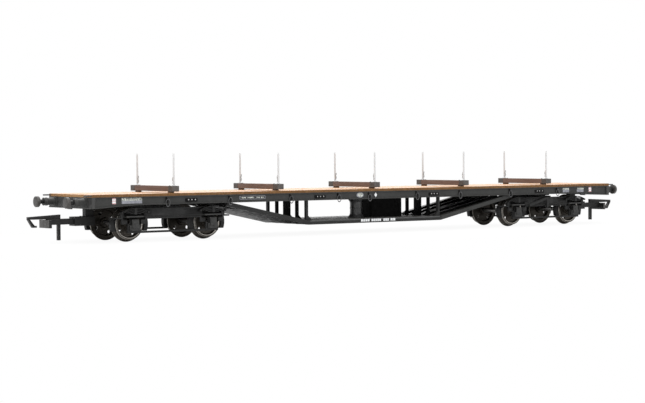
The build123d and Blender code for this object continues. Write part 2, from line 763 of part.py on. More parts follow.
# ---------------------------------------------------------------- write the nodes
def save_body():
    save("deck", make_deck())
    save("underframe_floor", make_floor())
    solebar = make_solebar()
    save("solebar_far", solebar)
    save("solebar_near", mirror_y(solebar))
    rings = make_rings()
    save("lashing_rings_far", *rings)
    save("lashing_rings_near", *[mirror_y(ring) for ring in rings])
    headstock = make_headstock()
    sockets = [make_buffer_socket(side) for side in (-1, 1)]
    heads = [make_buffer_head(side) for side in (-1, 1)]
    plates = [make_corner_plate(side) for side in (-1, 1)]
    body_bolster = make_body_bolster()
    for end, turn in (("a", mirror_x), ("b", lambda shape: shape)):
        save(f"headstock_{end}", turn(headstock))
        save(f"buffer_sockets_{end}", *[turn(socket) for socket in sockets])
        save(f"buffer_heads_{end}", *[turn(head) for head in heads])
        save(f"corner_plates_{end}", *[turn(plate) for plate in plates])
        save(f"body_bolster_{end}", turn(body_bolster))
    save("cross_bearers", *make_cross_bearers())
    truss_places = (-TRUSS_OUTER_Y, -TRUSS_INNER_Y, 0.0, TRUSS_INNER_Y, TRUSS_OUTER_Y)
    for number, y in enumerate(truss_places, start=1):
        width = CENTRE_TRUSS_WIDTH if y == 0 else TRUSS_WIDTH
        lip = TRUSS_LIP if abs(y) == TRUSS_OUTER_Y else 0.0
        save(f"truss_{number}", make_truss(y, width, lip))
    save("truss_tray", make_tray())
    save("brake_cylinder", make_brake_cylinder())
    save("brake_reservoir", make_reservoir())


def save_bolsters():
    places = [-bogie_x + bolster_pitch * index for index in range(BOLSTER_COUNT)]
    for number, x in enumerate(places, start=1):
        save(f"bolster_{number}", make_bolster(x))
    save("stanchions_near", *[make_stanchion(x, -1) for x in places])
    save("stanchions_far", *[make_stanchion(x, 1) for x in places])


def save_couplings():
    mount = make_coupling_mount()
    hook = make_hook()
    for end, turn in (("a", 180), ("b", 0)):
        save(f"coupling_{end}_mount", Rot(0, 0, turn) * mount)
        save(f"coupling_{end}_hook", Rot(0, 0, turn) * hook)


def save_bogies():
    side = make_side_frame()
    boxes = [make_axlebox(end) for end in (-1, 1)]
    springs = [make_spring(end) for end in (-1, 1)]
    brakes = [make_outer_brake(end) for end in (-1, 1)]
    brakes += [make_inner_brake(end) for end in (-1, 1)]
    wheels = [make_wheel(turn) for turn in (INNER_AXLE_TURN, OUTER_AXLE_TURN)]
    axle = make_axle()
    for name, turn in (("a", 180), ("b", 0)):
        place = Rot(0, 0, turn) * Pos(bogie_x, 0, 0)
        save(f"bogie_{name}_transom", place * make_transom())
        save(f"bogie_{name}_side_1", place * side)
        save(f"bogie_{name}_side_2", place * mirror_y(side))
        for part, pieces in (("axleboxes", boxes), ("springs", springs), ("brake_shoes", brakes)):
            both_sides = pieces + [mirror_y(piece) for piece in pieces]
            save(f"bogie_{name}_{part}", *[place * piece for piece in both_sides])
        save(f"bogie_{name}_brake_lever", place * make_brake_lever())
        for number, end in enumerate((-1, 1), start=1):
            wheel = wheels[number - 1]
            at_axle = place * Pos(end * axle_station, 0, axle_z)
            save(f"axle_{name}_{number}", at_axle * axle)
            save(f"wheels_{name}_{number}", at_axle * wheel, at_axle * mirror_y(wheel))


save_body()
save_bolsters()
save_couplings()
save_bogies()
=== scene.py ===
"""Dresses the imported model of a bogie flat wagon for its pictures.

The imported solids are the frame: every piece made here takes its place from their
boxes and rides on one of their bodies.  Sizes are in millimetres and are turned
into metres where a mesh is made.
"""

import json
import logging
import math
from dataclasses import dataclass, field, replace
from enum import Enum
from typing import Any, Callable, Dict, List, Sequence, Tuple

import bpy
from mathutils import Matrix, Vector

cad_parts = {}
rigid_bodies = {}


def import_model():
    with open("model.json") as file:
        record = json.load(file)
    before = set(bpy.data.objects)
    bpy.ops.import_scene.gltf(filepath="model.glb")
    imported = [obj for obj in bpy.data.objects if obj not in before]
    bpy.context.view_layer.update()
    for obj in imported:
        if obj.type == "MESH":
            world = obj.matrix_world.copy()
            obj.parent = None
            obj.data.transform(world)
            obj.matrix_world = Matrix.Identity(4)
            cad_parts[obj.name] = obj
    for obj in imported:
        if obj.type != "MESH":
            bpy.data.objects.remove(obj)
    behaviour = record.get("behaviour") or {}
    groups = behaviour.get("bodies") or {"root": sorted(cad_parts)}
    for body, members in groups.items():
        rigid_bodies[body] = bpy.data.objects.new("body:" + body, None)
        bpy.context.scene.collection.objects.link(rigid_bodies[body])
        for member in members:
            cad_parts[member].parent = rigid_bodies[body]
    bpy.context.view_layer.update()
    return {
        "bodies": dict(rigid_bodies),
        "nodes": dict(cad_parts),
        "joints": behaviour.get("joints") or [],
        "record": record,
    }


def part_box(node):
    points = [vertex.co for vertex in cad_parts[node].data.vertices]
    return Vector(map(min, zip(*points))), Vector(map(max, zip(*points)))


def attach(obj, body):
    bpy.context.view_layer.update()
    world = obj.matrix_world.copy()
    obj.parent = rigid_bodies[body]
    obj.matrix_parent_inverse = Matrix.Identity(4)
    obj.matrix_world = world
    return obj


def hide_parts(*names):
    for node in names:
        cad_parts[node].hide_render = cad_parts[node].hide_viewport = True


LOG = logging.getLogger("bogie_flat_wagon")
MM = 0.001
BOARDS = 84
BOARD_PITCH = 248.0 / BOARDS
SIDES = (("near", -1.0), ("far", 1.0))
ENDS = (("a", -1.0), ("b", 1.0))
BOTH = (-1, 1)

# How far a solebar's web lies behind its edges.
WEB_DEPTH = 0.5
# How deep a fitting is set into the face it stands on: a small one, and a heavier one.
ROOT = 0.05
BASE_ROOT = 0.1

Triple = Tuple[float, float, float]
Pair = Tuple[float, float]
Piece = bpy.types.Object
Colour = Tuple[float, float, float]

ORIGIN: Triple = (0.0, 0.0, 0.0)
WHITE = (1.0, 1.0, 1.0, 1.0)
# The dusty colour laid on upward faces; on the tray it also serves as a painted reflection.
DUST_AND_SHEEN: Colour = (0.30, 0.27, 0.24)


def ordered(first: float, second: float) -> Pair:
    """Two values, the lower one first."""
    return (min(first, second), max(first, second))


def about(middle: float, half: float) -> Pair:
    """The span that reaches equally far to both sides of a middle."""
    return (middle - half, middle + half)


def within(span: Pair, share: float) -> float:
    """The value that lies a share of the way along a span."""
    return span[0] + (span[1] - span[0]) * share


def symmetric(half: Sequence[Pair], total: float = 0.0) -> List[Pair]:
    """A lathe profile and its mirror image, so that both ends are alike.

    Args:
        half: pairs of the distance along the axis and the radius there.
        total: the sum of the distances of two points that mirror each other.

    Returns:
        The whole profile.
    """
    return list(half) + [(total - along, radius) for along, radius in reversed(half)]


class Axis(Enum):
    """The three directions of the wagon."""

    X = 0
    Y = 1
    Z = 2

    @property
    def arrow(self) -> Vector:
        """A vector one long in this direction."""
        return Vector([1.0 if self.value == place else 0.0 for place in range(3)])

    def point(self, along: float, pair: Pair) -> Triple:
        """Put a distance along this axis and a pair from the other two together.

        Args:
            along: the distance along this axis.
            pair: the other two coordinates, in the order X, Y, Z.

        Returns:
            The point's three coordinates.
        """
        rest = list(pair)
        rest.insert(self.value, along)
        return (rest[0], rest[1], rest[2])


class Grain(Enum):
    """What a surface looks like close to."""

    MOULDED = "moulded"
    BOARDS = "boards"
    TIMBER = "timber"
    TURNED = "turned"
    WIRE = "wire"


# ---- finishes
@dataclass(frozen=True)
class Finish:
    """One finish: its colours, its roughness and the grain that varies them."""

    name: str
    slot: str
    colour: Colour
    drift: Colour
    roughness: float = 0.5
    roughness_drift: float = 0.12
    metallic: float = 0.0
    specular: float = 0.5
    grain: Grain = Grain.MOULDED
    grain_mm: float = 3.0
    bump_mm: float = 0.02
    # Dusty colour on upward faces; on the tray a painted reflection as well.
    dust: float = 0.0

    def variant(self, name: str, colour: Colour, drift: Colour, **changes: Any) -> "Finish":
        """The same finish under another name, in other colours.

        Args:
            name: the new finish's name.
            colour: its first colour.
            drift: the colour that it drifts to.
            **changes: any other field that differs.

        Returns:
            The new finish.
        """
        return replace(self, name=name, colour=colour, drift=drift, **changes)

    def material(self) -> bpy.types.Material:
        """Build this finish's material, or give the one already built."""
        found = bpy.data.materials.get(self.name)
        if found:
            return found
        made = bpy.data.materials.new(self.name)
        made.use_nodes = True
        made.diffuse_color = (*self.colour, 1.0)
        Brush(made, self).paint()
        return made


class Wiring:
    """Adds and joins the nodes of one tree."""

    def __init__(self, tree: bpy.types.NodeTree) -> None:
        """Take the tree."""
        self.tree = tree

    def node(self, kind: str, **settings: Any) -> bpy.types.Node:
        """Add a node and set its properties."""
        made = self.tree.nodes.new("ShaderNode" + kind)
        for name, value in settings.items():
            setattr(made, name, value)
        return made

    def link(self, source: Any, target: Any) -> None:
        """Join an output socket to an input socket."""
        self.tree.links.new(source, target)

    def combine(self, operation: str, *sources: Any) -> Any:
        """Put one or two sockets through a maths node, and give its result."""
        node = self.node("Math", operation=operation)
        for place, source in enumerate(sources):
            self.link(source, node.inputs[place])
        return node.outputs[0]

    def ramp(self, value: Any, span: Pair, out: Pair, **settings: Any) -> Any:
        """Map a value from one span to another, and clamp it there.

        Args:
            value: the socket that gives the value.
            span: the two limits that it comes in.
            out: what it is at those limits.
            **settings: any other property of the node.

        Returns:
            The socket that gives the result.
        """
        node = self.node("MapRange", clamp=True, **settings)
        for name, number in zip(("From Min", "From Max", "To Min", "To Max"), span + out):
            node.inputs[name].default_value = number
        self.link(value, node.inputs["Value"])
        return node.outputs["Result"]


class Brush(Wiring):
    """Lays one finish's nodes into a material."""

    def __init__(self, material: bpy.types.Material, finish: Finish) -> None:
        """Take the material's node tree and its surface shader."""
        super().__init__(material.node_tree)
        self.finish = finish
        self.shader = self.tree.nodes["Principled BSDF"]

    def mapped(self, scale: Triple) -> Any:
        """Object coordinates in millimetres, scaled along each direction.

        Args:
            scale: the factor for X, Y and Z.

        Returns:
            The vector socket.
        """
        coordinates = self.node("TexCoord")
        mapping = self.node("Mapping")
        mapping.inputs["Scale"].default_value = [value / MM for value in scale]
        self.link(coordinates.outputs["Object"], mapping.inputs["Vector"])
        return mapping.outputs["Vector"]

    def noise(self, scale: Sequence[float], factor: float = 1.0, detail: float = 4.0) -> Any:
        """A noise pattern with features 1 / factor long in the scaled space."""
        noise = self.node("TexNoise")
        noise.inputs["Scale"].default_value = 1.0
        noise.inputs["Detail"].default_value = detail
        noise.inputs["Roughness"].default_value = 0.6
        self.link(self.mapped([value * factor for value in scale]), noise.inputs["Vector"])
        return noise.outputs["Fac"]

    def mix(self, amount: Any, first: Any, second: Any) -> Any:
        """Mix two colours, each a colour or a socket, by an amount."""
        node = self.node("Mix", data_type="RGBA", clamp_factor=True)
        self.link(amount, node.inputs[0])
        for socket, value in ((node.inputs[6], first), (node.inputs[7], second)):
            if isinstance(value, tuple):
                socket.default_value = (*value, 1.0)
            else:
                self.link(value, socket)
        return node.outputs[2]

    def board_tint(self) -> Any:
        """A steady random value for each board, counted along X."""
        split = self.node("SeparateXYZ")
        self.link(self.mapped((1.0 / BOARD_PITCH, 1.0, 1.0)), split.inputs["Vector"])
        white = self.node("TexWhiteNoise", noise_dimensions="1D")
        self.link(self.combine("FLOOR", split.outputs["X"]), white.inputs["W"])
        return white.outputs["Value"]

    def dusted(self, colour: Any) -> Any:
        """Lay a little dusty colour on the faces that look up; on the tray the same layer is a
        painted reflection as well.
        """
        geometry = self.node("NewGeometry")
        split = self.node("SeparateXYZ")
        self.link(geometry.outputs["Normal"], split.inputs["Vector"])
        upward = self.ramp(split.outputs["Z"], (0.2, 1.0), (0.0, self.finish.dust))
        patchy = self.ramp(self.noise((0.35, 0.35, 0.35)), (0.3, 0.7), (0.35, 1.0))
        return self.mix(self.combine("MULTIPLY", upward, patchy), colour, DUST_AND_SHEEN)

    def paint(self) -> None:
        """Lay the whole finish."""
        finish = self.finish
        grain = finish.grain
        per = 1.0 / finish.grain_mm
        stretched: Dict[Grain, Triple] = {
            Grain.BOARDS: (per, per * 0.10, per),
            Grain.TIMBER: (per, per * 0.08, per),
            Grain.TURNED: (per * 4.0, per, per * 4.0),
            Grain.WIRE: (per, per, per * 0.1),
        }
        scale = stretched.get(grain, (per, per, per))
        amount = self.ramp(self.noise(scale), (0.35, 0.65), (0.0, 1.0))
        colour = self.mix(amount, finish.colour, finish.drift)
        if grain in (Grain.BOARDS, Grain.TIMBER):
            streak = self.ramp(self.noise(scale, 5.0, 6.0), (0.52, 0.68), (0.0, 0.55))
            colour = self.mix(streak, colour, tuple(value * 0.55 for value in finish.drift))
        if grain is Grain.BOARDS:
            tint = self.ramp(self.board_tint(), (0.0, 1.0), (0.0, 0.32))
            colour = self.mix(tint, colour, tuple(value * 0.72 for value in finish.colour))
        if finish.dust:
            colour = self.dusted(colour)
        inputs = self.shader.inputs
        self.link(colour, inputs["Base Color"])
        gloss = about(finish.roughness, finish.roughness_drift)
        self.link(self.ramp(self.noise(scale, 2.3), (0.3, 0.7), gloss), inputs["Roughness"])
        inputs["Metallic"].default_value = finish.metallic
        inputs["Specular IOR Level"].default_value = finish.specular
        bump = self.node("Bump")
        bump.inputs["Distance"].default_value = finish.bump_mm * MM
        bump.inputs["Strength"].default_value = 1.0
        self.link(self.noise(scale, 6.0, 5.0), bump.inputs["Height"])
        self.link(bump.outputs["Normal"], inputs["Normal"])


def grey(value: float) -> Colour:
    """A colour without a tint."""
    return (value, value, value)


DECK_BOARDS = Finish(
    "deck_boards_tan", "deck_timber", (0.46, 0.225, 0.085), (0.56, 0.30, 0.13),
    roughness=0.42, grain=Grain.BOARDS, grain_mm=1.3, bump_mm=0.03,
)
# Darker copies of the deck finish for the deck's upright end and side faces: painted shade.
DECK_ENDS = DECK_BOARDS.variant(
    "deck_board_ends", (0.32, 0.165, 0.062), (0.42, 0.235, 0.10), roughness=0.5, specular=0.25
)
DECK_SIDES = DECK_BOARDS.variant(
    "deck_board_sides", (0.122, 0.058, 0.019), (0.165, 0.085, 0.033), roughness=0.55, specular=0.2
)
BOLSTER_TIMBER = Finish(
    "bolster_timber_brown", "bolster_timber", (0.115, 0.066, 0.050), (0.155, 0.096, 0.074),
    roughness=0.55, grain=Grain.TIMBER, grain_mm=1.2, bump_mm=0.03,
)
BOLSTER_STRAP = Finish(
    "bolster_end_strap", "bolster_timber", (0.048, 0.042, 0.038), (0.070, 0.061, 0.055),
    grain_mm=1.2,
)
STANCHION_WIRE = Finish(
    "stanchion_bright_wire", "stanchion_wire", (0.60, 0.60, 0.605), (0.52, 0.52, 0.525),
    0.34, 0.08, metallic=0.15, grain=Grain.WIRE, grain_mm=0.6, bump_mm=0.006,
)
CHAIN_WIRE = Finish(
    "chain_grey_wire", "ring_wire", (0.26, 0.255, 0.25), (0.38, 0.375, 0.37),
    0.42, metallic=0.7, grain_mm=0.6, bump_mm=0.006,
)
RING_DARK = CHAIN_WIRE.variant(
    "lashing_ring_dark", (0.050, 0.050, 0.052), (0.080, 0.080, 0.082),
    roughness=0.4, metallic=0.0, specular=0.35,
)
FRAME_GREY = Finish(
    "frame_charcoal", "frame_plastic", (0.022, 0.0222, 0.0215), (0.030, 0.0303, 0.0293),
    0.48, specular=0.25, grain_mm=5.0, dust=0.06,
)
# A paler copy of the frame grey for the headstocks and corner steps: painted light on the wagon's
# ends.
HEADSTOCK_PAINTED_LIGHT = FRAME_GREY.variant(
    "headstock_painted_light", (0.036, 0.0358, 0.0352), (0.048, 0.0478, 0.047), dust=0.08
)
TRUSS_GREY = Finish(
    "truss_dark_grey", "truss_plastic", (0.013, 0.0132, 0.013), (0.019, 0.0192, 0.019),
    0.48, specular=0.2, grain_mm=4.0, dust=0.06,
)
# A much paler copy of the truss grey: painted light on the inner trusses' sloping struts.
STRUT_PAINTED_LIGHT = TRUSS_GREY.variant(
    "truss_strut_painted_light", (0.14, 0.142, 0.14), (0.18, 0.182, 0.18),
    roughness=0.4, specular=0.5, dust=0.1,
)
# A paler grey for the tray under the trusses: a painted reflection of the white backdrop on its
# top, seen at a grazing angle.
TRAY_REFLECTION_GREY = TRUSS_GREY.variant(
    "tray_painted_reflection", (0.050, 0.051, 0.052), (0.070, 0.071, 0.072),
    roughness=0.5, specular=0.3, grain_mm=6.0, dust=0.2,
)
BOGIE_BLACK = Finish(
    "bogie_black", "bogie_plastic", grey(0.010), grey(0.017),
    0.45, specular=0.2, grain_mm=2.5, dust=0.04,
)
# A paler copy of the bogie black: painted light on the axleboxes and their seats.
BOGIE_PAINTED_LIGHT = BOGIE_BLACK.variant(
    "bogie_painted_light", grey(0.021), (0.036, 0.036, 0.035), specular=0.25, grain_mm=1.2, dust=0.06
)
# Near-black: the cleat plates, and painted shade on the solebar ribs, inner truss posts,
# reservoir, side-frame hollows and axleboxes' sides.
BLACK_AND_SHADE = BOGIE_BLACK.variant(
    "near_black_and_painted_shade", grey(0.003), grey(0.006), roughness=0.7, specular=0.08, dust=0.0
)
BRAKE_BLACK = Finish(
    "brake_gear_black", "brake_plastic", grey(0.006), grey(0.011),
    0.42, specular=0.2, bump_mm=0.015, dust=0.04,
)
DRUM_GREY = BRAKE_BLACK.variant(
    "brake_drum_grey", (0.034, 0.034, 0.035), (0.048, 0.048, 0.049),
    slot="frame_plastic", roughness=0.3, specular=0.4, bump_mm=0.012,
)
COUPLING_BLACK = Finish(
    "coupling_black", "coupling_plastic", grey(0.008), (0.014, 0.0135, 0.013),
    0.42, specular=0.22, grain_mm=2.0, dust=0.05,
)
BUMPER_BROWN = Finish(
    "coupling_bumper_brown", "coupling_plastic", (0.032, 0.029, 0.0265), (0.045, 0.041, 0.038),
    bump_mm=0.012,
)
BUFFER_GREY = Finish(
    "buffer_dull_metal", "buffer_metal", (0.035, 0.0325, 0.030), (0.054, 0.050, 0.0465),
    0.42, metallic=0.35, grain=Grain.TURNED, grain_mm=1.5, bump_mm=0.008,
)
WHEEL_DARK = Finish(
    "wheel_blackened", "wheel_metal", (0.028, 0.024, 0.019), (0.048, 0.041, 0.033),
    0.42, metallic=0.5, specular=0.35, grain=Grain.TURNED, grain_mm=1.6, bump_mm=0.01,
)
# Painted highlights for the wheels' edges.
RIM_HIGHLIGHT = Finish(
    "wheel_painted_highlight", "wheel_metal", (0.340, 0.323, 0.293), (0.442, 0.416, 0.383),
    0.36, 0.08, metallic=0.9, grain=Grain.TURNED, grain_mm=1.2, bump_mm=0.006,
)
# The dull tread between the painted highlights.
TREAD_DULL = Finish(
    "wheel_tread_dull", "wheel_metal", (0.060, 0.053, 0.045), (0.10, 0.089, 0.076),
    0.4, metallic=0.6, grain=Grain.TURNED, grain_mm=1.2, bump_mm=0.008,
)
AXLE_STEEL = RIM_HIGHLIGHT.variant(
    "axle_turned_steel", (0.28, 0.275, 0.27), (0.38, 0.37, 0.36),
    slot="axle_steel", roughness=0.32, grain_mm=1.0,
)
PRINT_WHITE = Finish(
    "print_off_white", "frame_plastic", (0.72, 0.73, 0.74), (0.60, 0.61, 0.62),
    grain_mm=0.8, bump_mm=0.006,
)
PRINT_GREY = PRINT_WHITE.variant(
    "print_pale_grey", (0.16, 0.164, 0.188), (0.24, 0.246, 0.275), grain_mm=0.7
)
PRINT_MOTTLED = PRINT_WHITE.variant(
    "print_worn", (0.045, 0.048, 0.044), (0.56, 0.58, 0.53), grain_mm=0.55
)
PRINT_PINK = PRINT_WHITE.variant(
    "print_faded_red", (0.62, 0.40, 0.41), (0.50, 0.26, 0.27), grain_mm=0.6
)


# ---- modelling steps
def deselect() -> None:
    """Leave edit mode and let go of everything."""
    held = bpy.context.object
    if held and held.mode != "OBJECT":
        close_edit()
    bpy.ops.object.select_all(action="DESELECT")


def pick(*pieces: Piece) -> None:
    """Select these pieces alone; the first one is active."""
    deselect()
    for piece in pieces:
        piece.select_set(True)
    bpy.context.view_layer.objects.active = pieces[0]


def edit(piece: Piece) -> None:
    """Open one piece in edit mode with all of it selected."""
    pick(piece)
    bpy.ops.object.mode_set(mode="EDIT")
    bpy.ops.mesh.select_all(action="SELECT")


def close_edit() -> None:
    """Leave edit mode."""
    bpy.ops.object.mode_set(mode="OBJECT")


def soften(piece: Piece, width: float, sharp: float = 32.0) -> Piece:
    """Round the sharp edges of a piece a little.

    Args:
        piece: the mesh to round.
        width: the width of the rounding in millimetres.
        sharp: the least angle in degrees between two faces that counts as sharp.

    Returns:
        The same piece.
    """
    edit(piece)
    bpy.ops.mesh.select_mode(type="EDGE")
    bpy.ops.mesh.select_all(action="DESELECT")
    bpy.ops.mesh.edges_select_sharp(sharpness=math.radians(sharp))
    bpy.ops.mesh.bevel(offset=width * MM, segments=2, affect="EDGES", clamp_overlap=True)
    bpy.ops.mesh.select_mode(type="VERT")
    close_edit()
    return smooth(piece)


def smooth(piece: Piece, angle: float = 38.0) -> Piece:
    """Shade a piece smooth except over its sharp edges, and keep its broad faces flat."""
    pick(piece)
    bpy.ops.object.shade_smooth_by_angle(angle=math.radians(angle))
    modify(piece, "WEIGHTED_NORMAL", keep_sharp=True)
    return piece


def modify(piece: Piece, kind: str, **settings: Any) -> None:
    """Add a modifier with these settings to a piece and apply it."""
    pick(piece)
    bpy.ops.object.modifier_add(type=kind)
    modifier = piece.modifiers[-1]
    for name, value in settings.items():
        setattr(modifier, name, value)
    bpy.ops.object.modifier_apply(modifier=modifier.name)


def outward(piece: Piece) -> Piece:
    """Merge a piece's doubled corners and turn its faces outwards."""
    edit(piece)
    bpy.ops.mesh.remove_doubles(threshold=0.0004 * MM)
    bpy.ops.mesh.normals_make_consistent(inside=False)
    close_edit()
    return piece


def trace(points: Sequence[Triple], closed: bool = False) -> Piece:
    """Draw a run of edges by extruding one corner from point to point.

    Args:
        points: the corners in millimetres.
        closed: whether the run is filled in as one face.

    Returns:
        The new mesh.
    """
    deselect()
    bpy.ops.mesh.primitive_plane_add(size=MM)
    run = bpy.context.object
    bpy.ops.object.mode_set(mode="EDIT")
    bpy.ops.mesh.merge(type="CENTER")
    corners = [Vector(point) * MM for point in points]
    bpy.ops.transform.translate(value=corners[0])
    for before, after in zip(corners, corners[1:]):
        bpy.ops.mesh.extrude_region_move(TRANSFORM_OT_translate={"value": after - before})
    if closed:
        bpy.ops.mesh.select_all(action="SELECT")
        bpy.ops.mesh.edge_face_add()
    close_edit()
    return run


def prism(outline: Sequence[Pair], axis: Axis, span: Pair, rounding: float) -> Piece:
    """Extrude a flat outline and round its edges.

    Args:
        outline: the corners in the plane across the axis.
        axis: the direction it is extruded in.
        span: where it starts and ends along the axis.
        rounding: the width of the rounding.

    Returns:
        The new piece.
    """
    piece = trace([axis.point(span[0], pair) for pair in outline], closed=True)
    edit(piece)
    depth = axis.arrow * (span[1] - span[0]) * MM
    bpy.ops.mesh.extrude_region_move(TRANSFORM_OT_translate={"value": depth})
    close_edit()
    return soften(outward(piece), rounding)


def block(x: Pair, y: Pair, z: Pair, rounding: float = 0.06) -> Piece:
    """A bar with rounded edges between pairs of low and high values."""
    deselect()
    middle = Vector([(low + high) / 2 for low, high in (x, y, z)])
    size = Vector([high - low for low, high in (x, y, z)])
    bpy.ops.mesh.primitive_cube_add(size=1.0, location=middle * MM, scale=size * MM)
    piece = bpy.context.object
    bpy.ops.object.transform_apply(location=True, rotation=True, scale=True)
    return soften(piece, rounding)


def turned(
    profile: Sequence[Pair], axis: Axis, centre: Triple = ORIGIN, steps: int = 32
) -> Piece:
    """Spin a profile round an axis as on a lathe.

    Args:
        profile: pairs of the distance along the axis and the radius there.
        axis: the direction of the lathe.
        centre: where the profile's zero lies.
        steps: the number of flats round it.

    Returns:
        The new piece.
    """
    points: List[Triple] = []
    for along, radius in profile:
        pair = (radius, 0.0) if axis is Axis.Z else (0.0, radius)
        points.append(axis.point(along, pair))
    piece = trace(points)
    edit(piece)
    bpy.ops.mesh.spin(steps=steps, angle=2 * math.pi, center=ORIGIN, axis=axis.arrow)
    close_edit()
    return smooth(shift(outward(piece), moved(*centre)))


def shift(piece: Piece, matrix: Matrix) -> Piece:
    """Move a piece's mesh, and keep its faces outwards if it is mirrored."""
    piece.data.transform(matrix)
    if matrix.determinant() < 0:
        piece.data.flip_normals()
    piece.data.update()
    return piece


def moved(x: float = 0.0, y: float = 0.0, z: float = 0.0) -> Matrix:
    """A shift in millimetres."""
    return Matrix.Translation(Vector((x, y, z)) * MM)


def mirrored(axis: Axis) -> Matrix:
    """A mirror through the plane across an axis."""
    return Matrix.Scale(-1.0, 4, axis.arrow)


def placed(name: str, data: Any) -> bpy.types.Object:
    """A new object in the scene, with this name and data."""
    made = bpy.data.objects.new(name, data)
    bpy.context.scene.collection.objects.link(made)
    return made


def copy(piece: Piece, matrix: Matrix) -> Piece:
    """Another piece with its own mesh, moved."""
    made = piece.copy()
    made.data = piece.data.copy()
    bpy.context.scene.collection.objects.link(made)
    return shift(made, matrix)


def repeated(piece: Piece, matrices: Sequence[Matrix]) -> Piece:
    """Join a copy of a piece at every place, and drop the first one.

    Args:
        piece: the model that is copied.
        matrices: where each copy goes.

    Returns:
        One joined piece.
    """
    made = [copy(piece, matrix) for matrix in matrices]
    bpy.data.objects.remove(piece)
    return join(made)


def join(pieces: Sequence[Piece]) -> Piece:
    """Make several pieces one mesh."""
    pick(*pieces)
    if len(pieces) > 1:
        bpy.ops.object.join()
    return bpy.context.object


def link_ring(
    centre: Triple, axis: Axis, radius: float, wire: float, stretch: float
) -> Piece:
    """One ring of wire, drawn out upwards.

    Args:
        centre: the ring's middle.
        axis: the direction that it faces.
        radius: the radius to the middle of the wire.
        wire: the wire's own radius.
        stretch: how much longer it is upwards than wide.

    Returns:
        The new piece.
    """
    deselect()
    turn = (0.0, math.pi / 2, 0.0) if axis is Axis.X else (math.pi / 2, 0.0, 0.0)
    bpy.ops.mesh.primitive_torus_add(
        major_segments=20, minor_segments=8, major_radius=radius * MM,
        minor_radius=wire * MM, location=ORIGIN, rotation=turn,
    )
    piece = bpy.context.object
    bpy.ops.object.transform_apply(location=True, rotation=True, scale=True)
    edit(piece)
    bpy.ops.transform.resize(value=(1.0, 1.0, stretch), center_override=ORIGIN)
    close_edit()
    return smooth(shift(piece, moved(*centre)), 60.0)


def rivet(centre: Triple, axis: Axis, radius: float, height: float) -> Piece:
    """A domed rivet head that stands on a face.

    Args:
        centre: the middle of its foot.
        axis: the direction of its head.
        radius: the radius of its foot.
        height: how far it stands out; less than nothing is the other way.

    Returns:
        The new piece.
    """
    shares = ((-0.3, 0.0), (-0.3, 1.0), (0.35, 0.94), (0.8, 0.6), (1.0, 0.0))
    profile = [(up * height, out * radius) for up, out in shares]
    return turned(profile, axis, centre, steps=8)


def hexagon(centre: Triple, radius: float, height: float) -> Piece:
    """A six-sided bolt head with a washer and a softened top, standing on a face."""
    washer = [(0.0, 0.0), (0.0, 1.25), (0.2, 1.2), (0.2, 0.0)]
    head = [(0.1, 0.0), (0.1, 1.0), (0.85, 1.0), (1.0, 0.82), (1.0, 0.0)]
    pieces = [
        turned([(up * height, out * radius) for up, out in shares], Axis.Z, centre, steps)
        for shares, steps in ((washer, 16), (head, 6))
    ]
    return join(pieces[::-1])


def carve(piece: Piece, cutter: Piece) -> Piece:
    """Cut one painted piece out of another, and drop the cutter.

    Args:
        piece: the piece that is cut.
        cutter: the piece that is taken away, whose finish the cut faces take.

    Returns:
        The piece that is left.
    """
    modify(
        piece, "BOOLEAN", operation="DIFFERENCE", solver="EXACT", material_mode="TRANSFER",
        object=cutter,
    )
    bpy.data.objects.remove(cutter)
    return piece


def paint(piece: Piece, finish: Finish) -> Piece:
    """Give a whole piece one finish."""
    piece.data.materials.clear()
    piece.data.materials.append(finish.material())
    return piece


def paint_where(piece: Piece, finish: Finish, test: Callable[[Vector], bool]) -> Piece:
    """Give a second finish to the faces whose middles, in millimetres, pass a test."""
    material = finish.material()
    number = piece.data.materials.find(material.name)
    if number < 0:
        piece.data.materials.append(material)
        number = len(piece.data.materials) - 1
    for face in piece.data.polygons:
        if test(face.center / MM):
            face.material_index = number
    return piece


@dataclass(frozen=True)
class Box:
    """A node's box in millimetres."""

    low: Vector
    high: Vector

    @property
    def middle(self) -> Vector:
        """The middle of the box."""
        return (self.low + self.high) / 2

    @property
    def size(self) -> Vector:
        """The box's three sides."""
        return self.high - self.low

    def span(self, axis: Axis, inset: float = 0.0) -> Pair:
        """Where the box starts and ends along an axis, drawn in at both ends."""
        return (self.low[axis.value] + inset, self.high[axis.value] - inset)

    def end(self, axis: Axis, sign: float) -> float:
        """The box's high end along an axis, or its low end if the sign is negative."""
        return self.span(axis)[1 if sign > 0 else 0]


def fill(box: Box, inset: float = 0.0, rounding: float = 0.06, **spans: Pair) -> Piece:
    """A bar with rounded edges that fills a box.

    Args:
        box: the box that it fills.
        inset: how far it stays inside along X and Y.
        rounding: the width of the rounding.
        **spans: other spans along x, y or z than the box's own.

    Returns:
        The new piece.
    """
    own = {"x": box.span(Axis.X, inset), "y": box.span(Axis.Y, inset), "z": box.span(Axis.Z)}
    own.update(spans)
    return block(own["x"], own["y"], own["z"], rounding)


